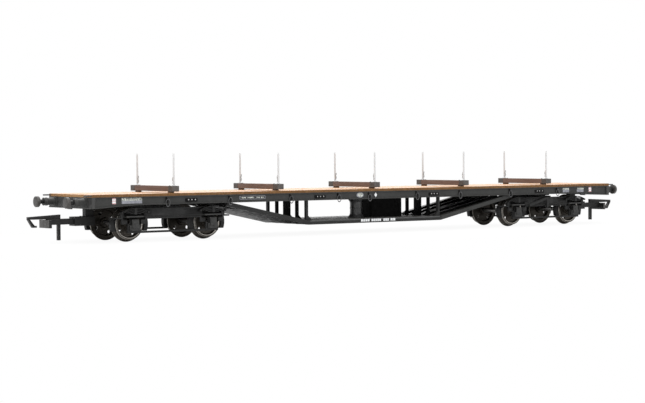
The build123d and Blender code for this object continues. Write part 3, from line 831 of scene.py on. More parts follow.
@dataclass
class Workshop:
    """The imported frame, and the list of what has been made from it."""

    frame: Dict[str, Any]
    made: List[str] = field(default_factory=list)

    def box(self, node: str) -> Box:
        """A node's box at rest."""
        low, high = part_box(node)
        return Box(Vector(low) / MM, Vector(high) / MM)

    def joint(self, name: str) -> Vector:
        """Where a joint lies, in millimetres."""
        for joint in self.frame["joints"]:
            if joint["name"] == name:
                return Vector(joint["pos_m"]) / MM
        raise KeyError(name)

    def places(self, node: str) -> List[float]:
        """The middles along X of a node's separate solids."""
        source = self.frame["nodes"][node]
        spots = sorted(corner.co.x / MM for corner in source.data.vertices)
        groups: List[List[float]] = [[spots[0]]]
        for spot in spots[1:]:
            if spot - groups[-1][-1] > 1.0:
                groups.append([spot])
            else:
                groups[-1].append(spot)
        return [(group[0] + group[-1]) / 2 for group in groups]

    def cast(self, node: str) -> Piece:
        """A merged copy of a CAD node's mesh, bare and with its flat faces whole again."""
        source = self.frame["nodes"][node]
        made = placed(node + "_cast", source.data.copy())
        made.data.materials.clear()
        edit(made)
        bpy.ops.mesh.remove_doubles(threshold=0.0005 * MM)
        bpy.ops.mesh.dissolve_limited(angle_limit=math.radians(0.5))
        bpy.ops.mesh.normals_make_consistent(inside=False)
        close_edit()
        return made

    def keep(
        self, piece: Piece, name: str, finish: Finish, nodes: Sequence[str] = (),
        body: str = "wagon",
    ) -> None:
        """Name a finished piece, let it ride on a body and report it.

        Args:
            piece: the finished mesh; if it is bare, it is painted here.
            name: its name.
            finish: the finish it is painted with if it is bare.
            nodes: the CAD nodes that it stands for.
            body: the CAD body that it moves with.
        """
        piece.name = name
        piece.data.name = name
        if not piece.data.materials:
            paint(piece, finish)
        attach(piece, body)
        if nodes:
            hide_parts(*nodes)
        self.made.append(name)
        LOG.info("%s: %d faces, rides on %s", name, len(piece.data.polygons), body)

    def keep_rounded(
        self, node: str, name: str, finish: Finish, width: float, body: str = "wagon"
    ) -> None:
        """Keep a node's own shape, with its edges rounded to a width."""
        self.keep(soften(self.cast(node), width), name, finish, [node], body)


# ---- studio
@dataclass
class Studio:
    """The floor, the soft light and the camera."""

    floor_half: float = 3.0
    camera_place: Triple = (-404.674, -537.861, 31.224)
    camera_pitch: float = -1.655
    camera_heading: float = -35.910
    camera_roll: float = -0.361
    lens: float = 95.99
    sensor: float = 36.0
    clip: Pair = (0.01, 50.0)
    sky_strength: float = 0.62
    floor_grey: float = 0.86
    floor_white: float = 0.93
    shadow_reach: Pair = (0.17, 0.05)
    shadow_fade: Pair = (0.7, 1.5)
    aim: Triple = (0.0, 0.0, 0.01)

    def build(self) -> None:
        """Set up everything round the wagon."""
        self.set_camera()
        self.set_sky()
        self.lay_floor()
        self.hang_lights()
        bpy.context.scene.view_settings.view_transform = "Standard"

    def set_camera(self) -> None:
        """Place the camera in front of the near side and end a."""
        data = bpy.data.cameras.new("camera")
        data.lens = self.lens
        data.sensor_width = self.sensor
        data.sensor_fit = "HORIZONTAL"
        data.clip_start, data.clip_end = self.clip
        pose = moved(*self.camera_place)
        angles = (self.camera_heading, 90.0 + self.camera_pitch, self.camera_roll)
        for degrees, axis in zip(angles, "ZXZ"):
            pose = pose @ Matrix.Rotation(math.radians(degrees), 4, axis)
        camera = placed("camera", data)
        camera.matrix_world = pose
        bpy.context.scene.camera = camera

    def set_sky(self) -> None:
        """A plain white sky, brighter where the camera or a reflection sees it."""
        world = bpy.data.worlds.new("studio_sky")
        bpy.context.scene.world = world
        world.use_nodes = True
        nodes = Wiring(world.node_tree)
        background = world.node_tree.nodes["Background"]
        background.inputs["Color"].default_value = WHITE
        path = nodes.node("LightPath").outputs
        seen = nodes.combine("MAXIMUM", path["Is Camera Ray"], path["Is Glossy Ray"])
        seen = nodes.combine("MAXIMUM", seen, path["Is Transmission Ray"])
        strength = nodes.ramp(seen, (0.0, 1.0), (self.sky_strength, 1.0))
        nodes.link(strength, background.inputs["Strength"])

    def lay_floor(self) -> None:
        """A pale floor that turns white where the camera sees it, but keeps the shadow."""
        deselect()
        bpy.ops.mesh.primitive_plane_add(size=2 * self.floor_half, location=ORIGIN)
        floor = bpy.context.object
        floor.name = "floor"
        material = bpy.data.materials.new("floor_white")
        material.use_nodes = True
        nodes = Wiring(material.node_tree)
        shader = material.node_tree.nodes["Principled BSDF"]
        shader.inputs["Base Color"].default_value = (*grey(self.floor_grey), 1.0)
        shader.inputs["Roughness"].default_value = 0.9
        shader.inputs["Specular IOR Level"].default_value = 0.0
        white = nodes.node("Emission")
        white.inputs["Color"].default_value = WHITE
        shrink = nodes.node("VectorMath", operation="MULTIPLY")
        shrink.inputs[1].default_value = (*(1.0 / reach for reach in self.shadow_reach), 0.0)
        nodes.link(nodes.node("TexCoord").outputs["Object"], shrink.inputs[0])
        away = nodes.node("VectorMath", operation="LENGTH")
        nodes.link(shrink.outputs[0], away.inputs[0])
        share = nodes.ramp(
            away.outputs["Value"], self.shadow_fade, (self.floor_white, 1.0),
            interpolation_type="SMOOTHSTEP",
        )
        camera_ray = nodes.node("LightPath").outputs["Is Camera Ray"]
        amount = nodes.combine("MULTIPLY", share, camera_ray)
        mix = nodes.node("MixShader")
        for place, source in enumerate((amount, shader.outputs[0], white.outputs[0])):
            nodes.link(source, mix.inputs[place])
        nodes.link(mix.outputs[0], material.node_tree.nodes["Material Output"].inputs["Surface"])
        floor.data.materials.append(material)

    def hang_lights(self) -> None:
        """Wide soft panels above the near side, over the far side and overhead."""
        self.panel("light_near", (-0.45, -0.75, 0.70), 0.9, 7.5)
        self.panel("light_far", (0.35, 0.80, 0.75), 0.9, 6.5)
        self.panel("light_top", (0.0, 0.0, 1.1), 1.0, 7.0)

    def panel(self, name: str, place: Triple, size: float, power: float) -> None:
        """Hang one square panel that faces the middle of the wagon.

        Args:
            name: the panel's name.
            place: where it hangs, in metres.
            size: the length of its side in metres.
            power: its power in watts.
        """
        data = bpy.data.lights.new(name, "AREA")
        data.size = size
        data.energy = power
        facing = (Vector(self.aim) - Vector(place)).to_track_quat("-Z", "Y")
        placed(name, data).matrix_world = (
            Matrix.Translation(place) @ facing.to_matrix().to_4x4()
        )


# ---- deck
@dataclass
class Deck:
    """The boards of the deck, nailed to a thin sheet."""

    shop: Workshop
    gap: float = 0.07
    rounding: float = 0.07
    nail_radius: float = 0.13
    nail_height: float = 0.03
    nail_inset: float = 1.1
    nail_row: float = 5.4
    nail_shares: Pair = (0.28, 0.72)

    def build(self) -> None:
        """Lay the boards side by side along the wagon."""
        box = self.shop.box("deck")
        pitch = box.size.x / BOARDS
        first = (box.low.x + self.gap / 2, box.low.x + pitch - self.gap / 2)
        pieces = [fill(box, rounding=self.rounding, x=first)]
        outer = box.high.y - self.nail_inset
        for y in (outer, self.nail_row, -self.nail_row, -outer):
            for share in self.nail_shares:
                place = (box.low.x + pitch * share, y, box.high.z)
                pieces.append(rivet(place, Axis.Z, self.nail_radius, self.nail_height))
        board = join(pieces)
        modify(
            board, "ARRAY", count=BOARDS, use_relative_offset=False, use_constant_offset=True,
            constant_offset_displace=(pitch * MM, 0.0, 0.0),
        )
        inset = 2 * self.rounding
        sheet = fill(box, inset, z=(box.low.z + inset / 2, box.high.z - inset))
        deck = paint(join([board, sheet]), DECK_BOARDS)
        # The upright faces at the sides and ends take the darker copies: painted shade.
        edge = (box.high.x - self.rounding, box.high.y - self.rounding)
        paint_where(deck, DECK_SIDES, lambda spot: abs(spot.y) > edge[1])
        paint_where(deck, DECK_ENDS, lambda spot: abs(spot.x) > edge[0])
        self.shop.keep(deck, "deck_boards", DECK_BOARDS, ["deck"])


# ---- underframe
@dataclass
class Underframe:
    """Solebars, headstocks, cross members and trusses, with their small fittings."""

    shop: Workshop
    cleat_places: Tuple[float, ...] = (-84.0, -27.6, 27.6, 84.0)
    cleat_drop: float = 1.6225
    cleat_length: float = 5.0
    cleat_height: float = 1.15
    cleat_proud: float = 0.28
    stud_offsets: Triple = (-1.25, 0.1, 1.55)
    stud_rise: float = 0.1
    stud_radius: float = 0.27
    stud_height: float = 0.14
    rib_proud: float = 0.47
    rib_span: Pair = (-0.75, 0.05)
    rib_height: Pair = (-2.6, -0.35)
    ring_width: float = 1.9
    ring_wire: float = 0.12
    buffer_base: float = 3.4
    buffer_base_thickness: float = 0.4
    bolt_spread: Pair = (-1.3, 1.3)
    bolt_radius: float = 0.2
    bolt_height: float = 0.16
    beam_rounding: float = 0.08
    lip_inset: float = 0.3
    lip_proud: float = 0.3
    lip_height: float = 0.4
    plate_proud: float = 0.35
    plate_half: float = 1.6
    plate_ends: Pair = (-0.35, 1.0)
    post: float = 32.0
    post_half: float = 1.0
    post_ends: Pair = (1.8, -1.3)
    ramp_end: float = 62.0
    ramp_slope: float = 7.5 / 34.7
    ramp_sheet: float = 0.3
    ramp_gap: float = 0.04
    bearer_gap: float = 0.15
    bearer_half: float = 4.0
    bearer_reach: Pair = (8.0, 11.0)

    def build(self) -> None:
        """Dress the frame from its solebars inwards."""
        self.dress_solebars()
        self.dress_headstocks()
        self.dress_trusses()
        self.dress_cross_members()

    def dress_solebars(self) -> None:
        """Round the solebars' edges and add their cleats, ribs and lashing rings."""
        for side, sign in SIDES:
            node = f"solebar_{side}"
            box = self.shop.box(node)
            top = box.high.z
            face = box.end(Axis.Y, sign) - sign * WEB_DEPTH
            self.shop.keep_rounded(node, f"{node}_channel", FRAME_GREY, 0.07)
            cleats = [self.cleat((x, face, top), sign) for x in self.cleat_places]
            self.shop.keep(join(cleats), f"lashing_cleats_{side}", FRAME_GREY)
            # Near-black blocks over the ribs, reaching further towards -X: painted shade beside
            # each lashing ring.
            front = ordered(face - sign * ROOT, face + sign * self.rib_proud)
            z = (top + self.rib_height[0], top + self.rib_height[1])
            ribs = [
                block((ring + self.rib_span[0], ring + self.rib_span[1]), front, z)
                for ring in self.shop.places(f"lashing_rings_{side}")
            ]
            self.shop.keep(join(ribs), f"solebar_ribs_{side}", BLACK_AND_SHADE)
            self.ring_row(side)

    def cleat(self, place: Triple, sign: float) -> Piece:
        """A small plate with three bright studs, low in the solebar's channel.

        Args:
            place: its middle along X, the channel's face, and the solebar's top.
            sign: -1 for the near side and 1 for the far one.

        Returns:
            The painted cleat.
        """
        x, face, top = place
        z = top - self.cleat_drop
        front = face + sign * self.cleat_proud
        plate = block(
            about(x, self.cleat_length / 2), ordered(face - sign * ROOT, front),
            about(z, self.cleat_height / 2), 0.08,
        )
        pieces = [paint(plate, BLACK_AND_SHADE)]
        for offset in self.stud_offsets:
            place = (x + offset, front, z + self.stud_rise)
            stud = rivet(place, Axis.Y, self.stud_radius, sign * self.stud_height)
            pieces.append(paint(outward(stud), CHAIN_WIRE))
        return join(pieces)

    def ring_row(self, side: str) -> None:
        """Replace the row of lashing rings by finer ones in the same places."""
        node = f"lashing_rings_{side}"
        box = self.shop.box(node)
        radius = self.ring_width / 2 - self.ring_wire
        stretch = box.size.z / self.ring_width
        rings = [
            link_ring((x, box.middle.y, box.middle.z), Axis.Y, radius, self.ring_wire, stretch)
            for x in self.shop.places(node)
        ]
        self.shop.keep(join(rings), f"{node}_wire", RING_DARK, [node])

    def dress_headstocks(self) -> None:
        """Round the headstocks and corner plates, and bolt the buffers' bases on."""
        for end, sign in ENDS:
            node = f"headstock_{end}"
            box = self.shop.box(node)
            socket = self.shop.box(f"buffer_sockets_{end}")
            base = box.end(Axis.X, sign)
            face = base - sign * self.buffer_base_thickness
            root = face - sign * BASE_ROOT
            z = socket.middle.z
            half = self.buffer_base / 2
            rounding = self.beam_rounding
            pieces = [fill(box, rounding=rounding, x=ordered(box.end(Axis.X, -sign), face))]
            for y in socket.span(Axis.Y, socket.size.z / 2):
                pad = (ordered(root, base), about(y, half), about(z, half))
                pieces.append(block(*pad, rounding))
                for dy in self.bolt_spread:
                    for dz in self.bolt_spread:
                        place = (base, y + dy, z + dz)
                        height = sign * self.bolt_height
                        pieces.append(outward(rivet(place, Axis.X, self.bolt_radius, height)))
            low = box.low.z
            lip = ordered(root, face + sign * self.lip_proud)
            across = box.span(Axis.Y, self.lip_inset)
            pieces.append(block(lip, across, (low, low + self.lip_height), rounding))
            plate = ordered(root, face + sign * self.plate_proud)
            upright = (low + self.plate_ends[0], z + self.plate_ends[1])
            pieces.append(block(plate, about(0.0, self.plate_half), upright, 0.12))
            # The beams and corner steps take the paler grey: painted light.
            self.shop.keep(join(pieces), f"{node}_beam", HEADSTOCK_PAINTED_LIGHT, [node])
            self.shop.keep_rounded(
                f"corner_plates_{end}", f"corner_steps_{end}", HEADSTOCK_PAINTED_LIGHT, 0.06
            )

    def dress_trusses(self) -> None:
        """Round the five trusses, with near-black posts on the inner three as painted shade, and
        paler struts at end b as painted light, palest on the inner three.
        """
        beyond = self.post + self.post_half
        for number in range(1, 6):
            node = f"truss_{number}"
            box = self.shop.box(node)
            rounded = paint(soften(self.shop.cast(node), 0.07), TRUSS_GREY)
            # The sloping struts at end b are painted paler than the truss: painted light,
            # strongest on the inner three.
            strut_light = FRAME_GREY
            if number in (2, 3, 4):
                strut_light = STRUT_PAINTED_LIGHT
                post = (box.low.z + self.post_ends[0], box.high.z + self.post_ends[1])
                # The inner trusses' posts are painted near-black: painted shade behind the near
                # truss.
                paint_where(
                    rounded, BLACK_AND_SHADE,
                    lambda spot: post[0] < spot.z < post[1] and abs(spot.x) < beyond,
                )
            foot = box.low.z + self.ramp_sheet - self.post * self.ramp_slope
            paint_where(
                rounded, strut_light,
                lambda spot: spot.x > beyond and spot.z > foot + spot.x * self.ramp_slope,
            )
            self.shop.keep(rounded, f"{node}_frame", TRUSS_GREY, [node])
        self.lay_ramps()

    def lay_ramps(self) -> None:
        """The thin sheets that close the trusses' sloping ends from below."""
        truss = self.shop.box("truss_1")
        low = truss.low.z + self.ramp_gap
        high = low + (self.ramp_end - self.post) * self.ramp_slope
        outline = [
            (self.post, low), (self.ramp_end, high), (self.ramp_end, high + self.ramp_sheet),
            (self.post, low + self.ramp_sheet),
        ]
        y = about(0.0, -truss.low.y - self.ramp_gap)
        sheets = [prism([(side * x, z) for x, z in outline], Axis.Y, y, 0.04) for side in BOTH]
        self.shop.keep(join(sheets), "truss_ramp_sheets", TRUSS_GREY)

    def dress_cross_members(self) -> None:
        """Round the floor, tray and bearers, and add side bearers above the bogies."""
        for node in ("underframe_floor", "truss_tray", "cross_bearers"):
            # The tray is painted paler: a painted reflection on its top.
            finish = TRAY_REFLECTION_GREY if node == "truss_tray" else FRAME_GREY
            self.shop.keep_rounded(node, f"{node}_plate", finish, 0.06)
        for end, _ in ENDS:
            node = f"body_bolster_{end}"
            box = self.shop.box(node)
            pieces = [soften(self.shop.cast(node), 0.06)]
            foot = self.shop.box(f"bogie_{end}_transom").high.z + self.bearer_gap
            x = about(box.middle.x, self.bearer_half)
            for side in BOTH[::-1]:
                y = ordered(side * self.bearer_reach[0], side * self.bearer_reach[1])
                pieces.append(block(x, y, (foot, box.high.z), 0.1))
            self.shop.keep(join(pieces), f"{node}_plate", FRAME_GREY, [node])


# ---- blank plates and marks
@dataclass
class Marks:
    """Blank plates and plain marks on both solebars and on the outer trusses' chords."""

    shop: Workshop
    thin: float = 0.09
    layer: float = 0.02
    height: Pair = (-2.4, -0.28)
    data_plates: Tuple[Pair, ...] = ((-112.2, -104.1), (97.4, 101.0), (105.5, 109.4))
    end_b_drop: float = 0.3
    long_plate: Pair = (-63.5, -52.3)
    long_plate_height: Pair = (-1.95, -0.65)
    long_plate_edge: Pair = (0.22, 0.17)
    dashes: Tuple[Pair, ...] = ((0.05, 0.24), (0.28, 0.56), (0.66, 0.80), (0.84, 0.95))
    dash_height: Pair = (-1.5, -1.1)
    class_plates: Tuple[Pair, ...] = ((-115.9, -114.5), (112.4, 113.9))
    class_bands: Tuple[Pair, ...] = ((0.15, 0.40), (0.55, 0.80))
    disc_place: Pair = (-8.7, -1.35)
    disc_stretch: float = 1.6
    disc_mottled: float = 0.7
    diamond: Tuple[Pair, ...] = ((-1.9, -1.45), (-1.2, -0.55), (-0.55, -1.45), (-1.2, -2.35))
    chord_marks: Tuple[Pair, ...] = ((-7.6, -3.5), (-2.6, 2.0), (3.2, 5.9), (6.7, 9.0))
    chord_height: Pair = (0.45, 1.4)
    chord_proud: float = 0.03
    mark_gap: float = 0.18

    def build(self) -> None:
        """Set the plates and marks of both sides."""
        for side, sign in SIDES:
            box = self.shop.box(f"solebar_{side}")
            face = abs(box.end(Axis.Y, sign)) - WEB_DEPTH
            top = box.high.z
            pieces = self.plates(sign, face, top)
            pieces += self.signs(sign, face, top)
            pieces += self.chord_blocks(sign)
            self.shop.keep(join(pieces), f"blank_plates_{side}", PRINT_WHITE)

    def depth(self, sign: float, face: float, proud: float) -> Pair:
        """The span across the wagon of something that stands out from a face."""
        return ordered(sign * (face - ROOT), sign * (face + proud))

    def plates(self, sign: float, face: float, top: float) -> List[Piece]:
        """Every flat plate of one solebar.

        Args:
            sign: -1 for the near side and 1 for the far one.
            face: the distance of the solebar's web from the middle.
            top: the height of the solebar's top.

        Returns:
            The painted plates.
        """
        pieces: List[Piece] = []

        def add(x: Pair, low: float, high: float, finish: Finish, layers: int = 0) -> None:
            """Add one plate, some layers above the lowest."""
            y = self.depth(sign, face, self.thin + self.layer * layers)
            pieces.append(paint(block(x, y, (top + low, top + high), 0.03), finish))

        low, high = self.height
        middle = (low + high) / 2
        for x in self.data_plates:
            add(x, low, middle, PRINT_GREY)
            add(x, middle, high - (0.0 if x[0] < 0 else self.end_b_drop), PRINT_MOTTLED)
        long_low, long_high = self.long_plate_height
        edge_x, edge_z = self.long_plate_edge
        add(self.long_plate, long_low, long_high, PRINT_GREY)
        inner = (self.long_plate[0] + edge_x, self.long_plate[1] - edge_x)
        add(inner, long_low + edge_z, long_high - edge_z, FRAME_GREY, 1)
        for start, end in self.dashes:
            dash = (within(inner, start), within(inner, end))
            add(dash, *self.dash_height, PRINT_MOTTLED, 2)
        for x in self.class_plates:
            add(x, low, high, PRINT_PINK)
            for start, end in self.class_bands:
                band = (within(self.height, start), within(self.height, end))
                add(x, *band, PRINT_WHITE, 1)
        return pieces

    def signs(self, sign: float, face: float, top: float) -> List[Piece]:
        """A blank oval disc and a diamond; the arguments are those of plates()."""
        thin = self.thin
        profile = [(0.0, 0.0), (0.0, 1.05), (thin, 1.0), (thin, 0.8)]
        profile += [(thin * 0.6, 0.78), (thin * 0.6, 0.0)]
        disc = paint(turned(profile, Axis.Y, steps=28), PRINT_GREY)
        paint_where(
            disc, PRINT_MOTTLED, lambda spot: math.hypot(spot.x, spot.z) < self.disc_mottled
        )
        x, drop = self.disc_place
        stretch = Matrix.Diagonal((self.disc_stretch, sign, 1.0, 1.0))
        shift(disc, moved(x, sign * face, top + drop) @ stretch)
        outline = [(x, top + z) for x, z in self.diamond]
        diamond = prism(outline, Axis.Y, self.depth(sign, face, thin), 0.03)
        return [disc, paint(diamond, PRINT_WHITE)]

    def chord_blocks(self, sign: float) -> List[Piece]:
        """The small blocks along an outer truss's bottom chord, on one side."""
        truss = self.shop.box("truss_1" if sign < 0 else "truss_5")
        y = self.depth(sign, abs(truss.end(Axis.Y, sign)), self.chord_proud)
        z = (truss.low.z + self.chord_height[0], truss.low.z + self.chord_height[1])
        pieces = []
        for low, high in self.chord_marks:
            count = round(high - low)
            step = (high - low + self.mark_gap) / count
            for number in range(count):
                start = low + number * step
                mark = block((start, start + step - self.mark_gap), y, z, 0.03)
                pieces.append(paint(mark, PRINT_WHITE))
        return pieces


# ---- buffers
@dataclass
class Buffers:
    """Turned sockets and round heads at one end."""

    shop: Workshop
    end: str
    sign: float
    head: float = 1.4
    ram: float = 0.8

    def build(self) -> None:
        """Turn both sockets and both heads."""
        sockets = self.shop.box(f"buffer_sockets_{self.end}")
        heads = self.shop.box(f"buffer_heads_{self.end}")
        length = sockets.size.x
        radius = sockets.size.z / 2
        waist = radius - 0.16
        barrel = [
            (-0.1, 0.0), (-0.1, radius + 0.2), (0.3, radius + 0.2), (0.42, radius - 0.02),
            (length * 0.35, waist), (length * 0.62, waist), (length * 0.66, radius),
            (length * 0.8, radius), (length * 0.84, radius - 0.12),
            (length - 0.25, radius - 0.12), (length - 0.2, radius), (length, radius - 0.08),
            (length, 0.0),
        ]
        wide = heads.size.z / 2
        reach = heads.size.x
        neck = reach - self.head
        ram = [
            (0.0, 0.0), (0.0, self.ram), (neck - 0.1, self.ram), (neck + 0.05, 1.05),
            (neck + 0.12, wide - 0.14), (neck + 0.24, wide), (reach - 0.22, wide),
            (reach - 0.08, wide - 0.1), (reach - 0.02, wide - 0.4), (reach, wide - 0.9),
            (reach, 0.0),
        ]
        row = self.row(barrel, 36, sockets, sockets)
        self.shop.keep(
            row, f"buffer_barrels_{self.end}", FRAME_GREY, [f"buffer_sockets_{self.end}"]
        )
        row = paint(self.row(ram, 40, heads, sockets), BUFFER_GREY)
        # The rams under the heads are painted near-black: painted shade.
        head_start = abs(heads.end(Axis.X, -self.sign)) + neck
        paint_where(row, BRAKE_BLACK, lambda spot: abs(spot.x) < head_start)
        self.shop.keep(
            row, f"buffer_rams_{self.end}", BUFFER_GREY, [f"buffer_heads_{self.end}"]
        )

    def row(self, profile: Sequence[Pair], steps: int, box: Box, sockets: Box) -> Piece:
        """Turn one part of a buffer and set it at both sides.

        Args:
            profile: its lathe profile, outwards from the headstock.
            steps: the number of flats round it.
            box: the box whose inner end it starts from.
            sockets: the box of both sockets.

        Returns:
            Both copies as one bare piece.
        """
        turn = mirrored(Axis.X) if self.sign < 0 else Matrix.Identity(4)
        start = box.end(Axis.X, -self.sign)
        spots = [
            moved(start, y, sockets.middle.z) @ turn
            for y in sockets.span(Axis.Y, sockets.size.z / 2)
        ]
        return repeated(turned(profile, Axis.X, steps=steps), spots)


# ---- load bolsters
@dataclass
class LoadBolsters:
    """Five timber bolsters with a bright stanchion and a short chain at each end."""

    shop: Workshop
    foot_width: float = 2.0
    foot_length: float = 1.5
    foot_place: float = 11.55
    foot_height: float = 0.5
    strap: float = 0.05
    strap_length: float = 2.9
    bolt_inset: float = 2.3
    socket_depth: float = 1.2
    link_radius: float = 0.19
    link_wire: float = 0.07
    link_step: float = 0.40
    link_stretch: float = 1.3
    chain_foot: float = 0.9
    chain_gap: float = 0.3
    chain_sway: float = 0.12
    sway_turn: float = 1.6
    links: int = 6

    def build(self) -> None:
        """Make every bolster, then the two rows of stanchions and chains."""
        spots: List[Tuple[float, float]] = []
        pins = self.shop.box("stanchions_far")
        y = pins.middle.y
        for number, x in enumerate(self.shop.places("stanchions_far"), start=1):
            box = self.shop.box(f"bolster_{number}")
            self.make_bolster(number, box, y)
            spots.append((x, box.high.z))
        for side, sign in SIDES:
            self.make_stanchions(side, sign * y, spots, pins)

    def make_bolster(self, number: int, box: Box, y: float) -> None:
        """One baulk of timber on two feet, with a bolt and a strap at each end.

        Args:
            number: which bolster, counted from end a.
            box: the box of the CAD solid.
            y: the distance of its stanchions from the middle.
        """
        base = box.low.z + self.foot_height
        pieces = [paint(fill(box, z=(base, box.high.z)), BOLSTER_TIMBER)]
        for side in BOTH:
            foot = block(
                about(box.middle.x, self.foot_length / 2),
                about(side * self.foot_place, self.foot_width / 2), (box.low.z, base + 0.1),
            )
            bolt = hexagon((box.middle.x, side * (y - self.bolt_inset), box.high.z), 0.28, 0.16)
            end = ordered(
                side * (box.high.y - self.strap_length), side * (box.high.y + self.strap)
            )
            strap = fill(box, -self.strap, y=end, z=(base - self.strap, box.high.z + self.strap))
            pieces += [
                paint(foot, BOLSTER_TIMBER), paint(bolt, BRAKE_BLACK), paint(strap, BOLSTER_STRAP)
            ]
        self.shop.keep(
            join(pieces), f"timber_bolster_{number}", BOLSTER_TIMBER, [f"bolster_{number}"]
        )

    def make_stanchions(
        self, side: str, y: float, spots: Sequence[Tuple[float, float]], pins: Box
    ) -> None:
        """One row of stanchions with their chains.

        Args:
            side: "near" or "far".
            y: the row's distance from the middle, with its sign.
            spots: each bolster's place along X and the height of its top.
            pins: the box of a row of stanchions.
        """
        radius = pins.size.y / 2
        collar = radius + 0.3
        top = pins.high.z
        base = spots[0][1]
        profile = [
            (base - self.socket_depth, 0.0), (base - self.socket_depth, radius),
            (base, radius), (base, collar), (base + 0.22, collar), (base + 0.34, radius + 0.05),
            (base + 0.5, radius), (top - 0.9, radius * 0.92), (top - 0.15, radius * 0.85),
            (top, radius * 0.5), (top, 0.0),
        ]
        pin = turned(profile, Axis.Z, steps=20)
        row = repeated(pin, [moved(x, y) for x, _ in spots])
        self.shop.keep(row, f"stanchion_row_{side}", STANCHION_WIRE, [f"stanchions_{side}"])
        inner = y - math.copysign(radius + self.chain_gap, y)
        chains = repeated(self.make_chain(), [moved(x, inner, z) for x, z in spots])
        self.shop.keep(chains, f"stanchion_chains_{side}", CHAIN_WIRE)

    def make_chain(self) -> Piece:
        """A short chain of links that hangs beside a stanchion, above its bolster."""
        links = []
        for number in range(self.links):
            sway = self.chain_sway * math.sin(self.sway_turn * number)
            place = (sway, 0.0, self.chain_foot + self.link_radius + number * self.link_step)
            facing = Axis.X if number % 2 else Axis.Y
            links.append(
                link_ring(place, facing, self.link_radius, self.link_wire, self.link_stretch)
            )
        return join(links)


# ---- brake gear under the frame
@dataclass
class BrakeGear:
    """The upright brake drum and the air reservoir between the trusses."""

    shop: Workshop
    bolts: int = 8
    bolt_inset: float = 0.34
    bolt_depth: float = 0.55
    strap_shares: Pair = (0.22, 0.78)
    strap_half: float = 0.45

    def build(self) -> None:
        """Turn the drum, bolt its flanges and strap the reservoir."""
        self.make_drum()
        self.make_reservoir()

    def make_drum(self) -> None:
        """The drum with a ring of bolts inside each flange."""
        box = self.shop.box("brake_cylinder")
        waist = box.size.z / 2
        outer = box.size.x / 2
        slim = outer - 0.7
        half = [
            (0.0, 0.0), (0.0, outer - 0.05), (0.08, outer), (0.5, outer), (0.6, outer - 0.12),
            (0.8, slim + 0.42), (1.2, slim + 0.14), (1.8, slim), (waist - 0.2, slim - 0.04),
            (waist - 0.15, slim + 0.08),
        ]
        centre = (box.middle.x, box.middle.y, box.low.z)
        pieces = [turned(symmetric(half, box.size.z), Axis.Z, centre, steps=48)]
        for number in range(self.bolts):
            angle = 2 * math.pi * (number + 0.5) / self.bolts
            reach = outer - self.bolt_inset
            x = centre[0] + reach * math.cos(angle)
            y = centre[1] + reach * math.sin(angle)
            pieces.append(hexagon((x, y, box.low.z + self.bolt_depth), 0.17, 0.2))
            under = shift(hexagon((x, y, 0.0), 0.17, 0.2), mirrored(Axis.Z))
            pieces.append(shift(under, moved(z=box.high.z - self.bolt_depth)))
        self.shop.keep(join(pieces), "brake_drum", DRUM_GREY, ["brake_cylinder"])

    def make_reservoir(self) -> None:
        """The air reservoir with two straps round it."""
        node = "brake_reservoir"
        box = self.shop.box(node)
        pieces = [soften(self.shop.cast(node), 0.12, 40.0)]
        y = box.span(Axis.Y, -0.1)
        z = box.span(Axis.Z, 0.05)
        for share in self.strap_shares:
            x = box.low.x + box.size.x * share
            pieces.append(block(about(x, self.strap_half), y, z, 0.09))
        # The tank and its straps are painted near-black: painted shade deep between the trusses.
        tank = paint(join(pieces), BLACK_AND_SHADE)
        self.shop.keep(tank, "air_reservoir", BRAKE_BLACK, [node])


# ---- couplings
@dataclass
class Coupling:
    """The coupling of one end: its fixed mount with the bumper bar, and its hook."""

    shop: Workshop
    end: str
    sign: float
    bar: float = 0.6
    bumper_shade_edge: float = 2.2

    def build(self) -> None:
        """Round the mount and the hook, and colour the bumper bar brown; one end of the bar stays
        black as painted shade.
        """
        node = f"coupling_{self.end}_mount"
        bar = abs(self.shop.box(node).end(Axis.X, self.sign)) - self.bar
        mount = paint(soften(self.shop.cast(node), 0.09), COUPLING_BLACK)
        # The bumper bar is brown but for one end of it, left black as painted shade.
        paint_where(
            mount, BUMPER_BROWN,
            lambda spot: abs(spot.x) > bar and self.sign * spot.y < self.bumper_shade_edge,
        )
        self.shop.keep(mount, f"coupling_mount_{self.end}", COUPLING_BLACK, [node])
        self.shop.keep_rounded(
            f"coupling_{self.end}_hook", f"coupling_hook_{self.end}", COUPLING_BLACK, 0.04,
            f"hook_{self.end}",
        )


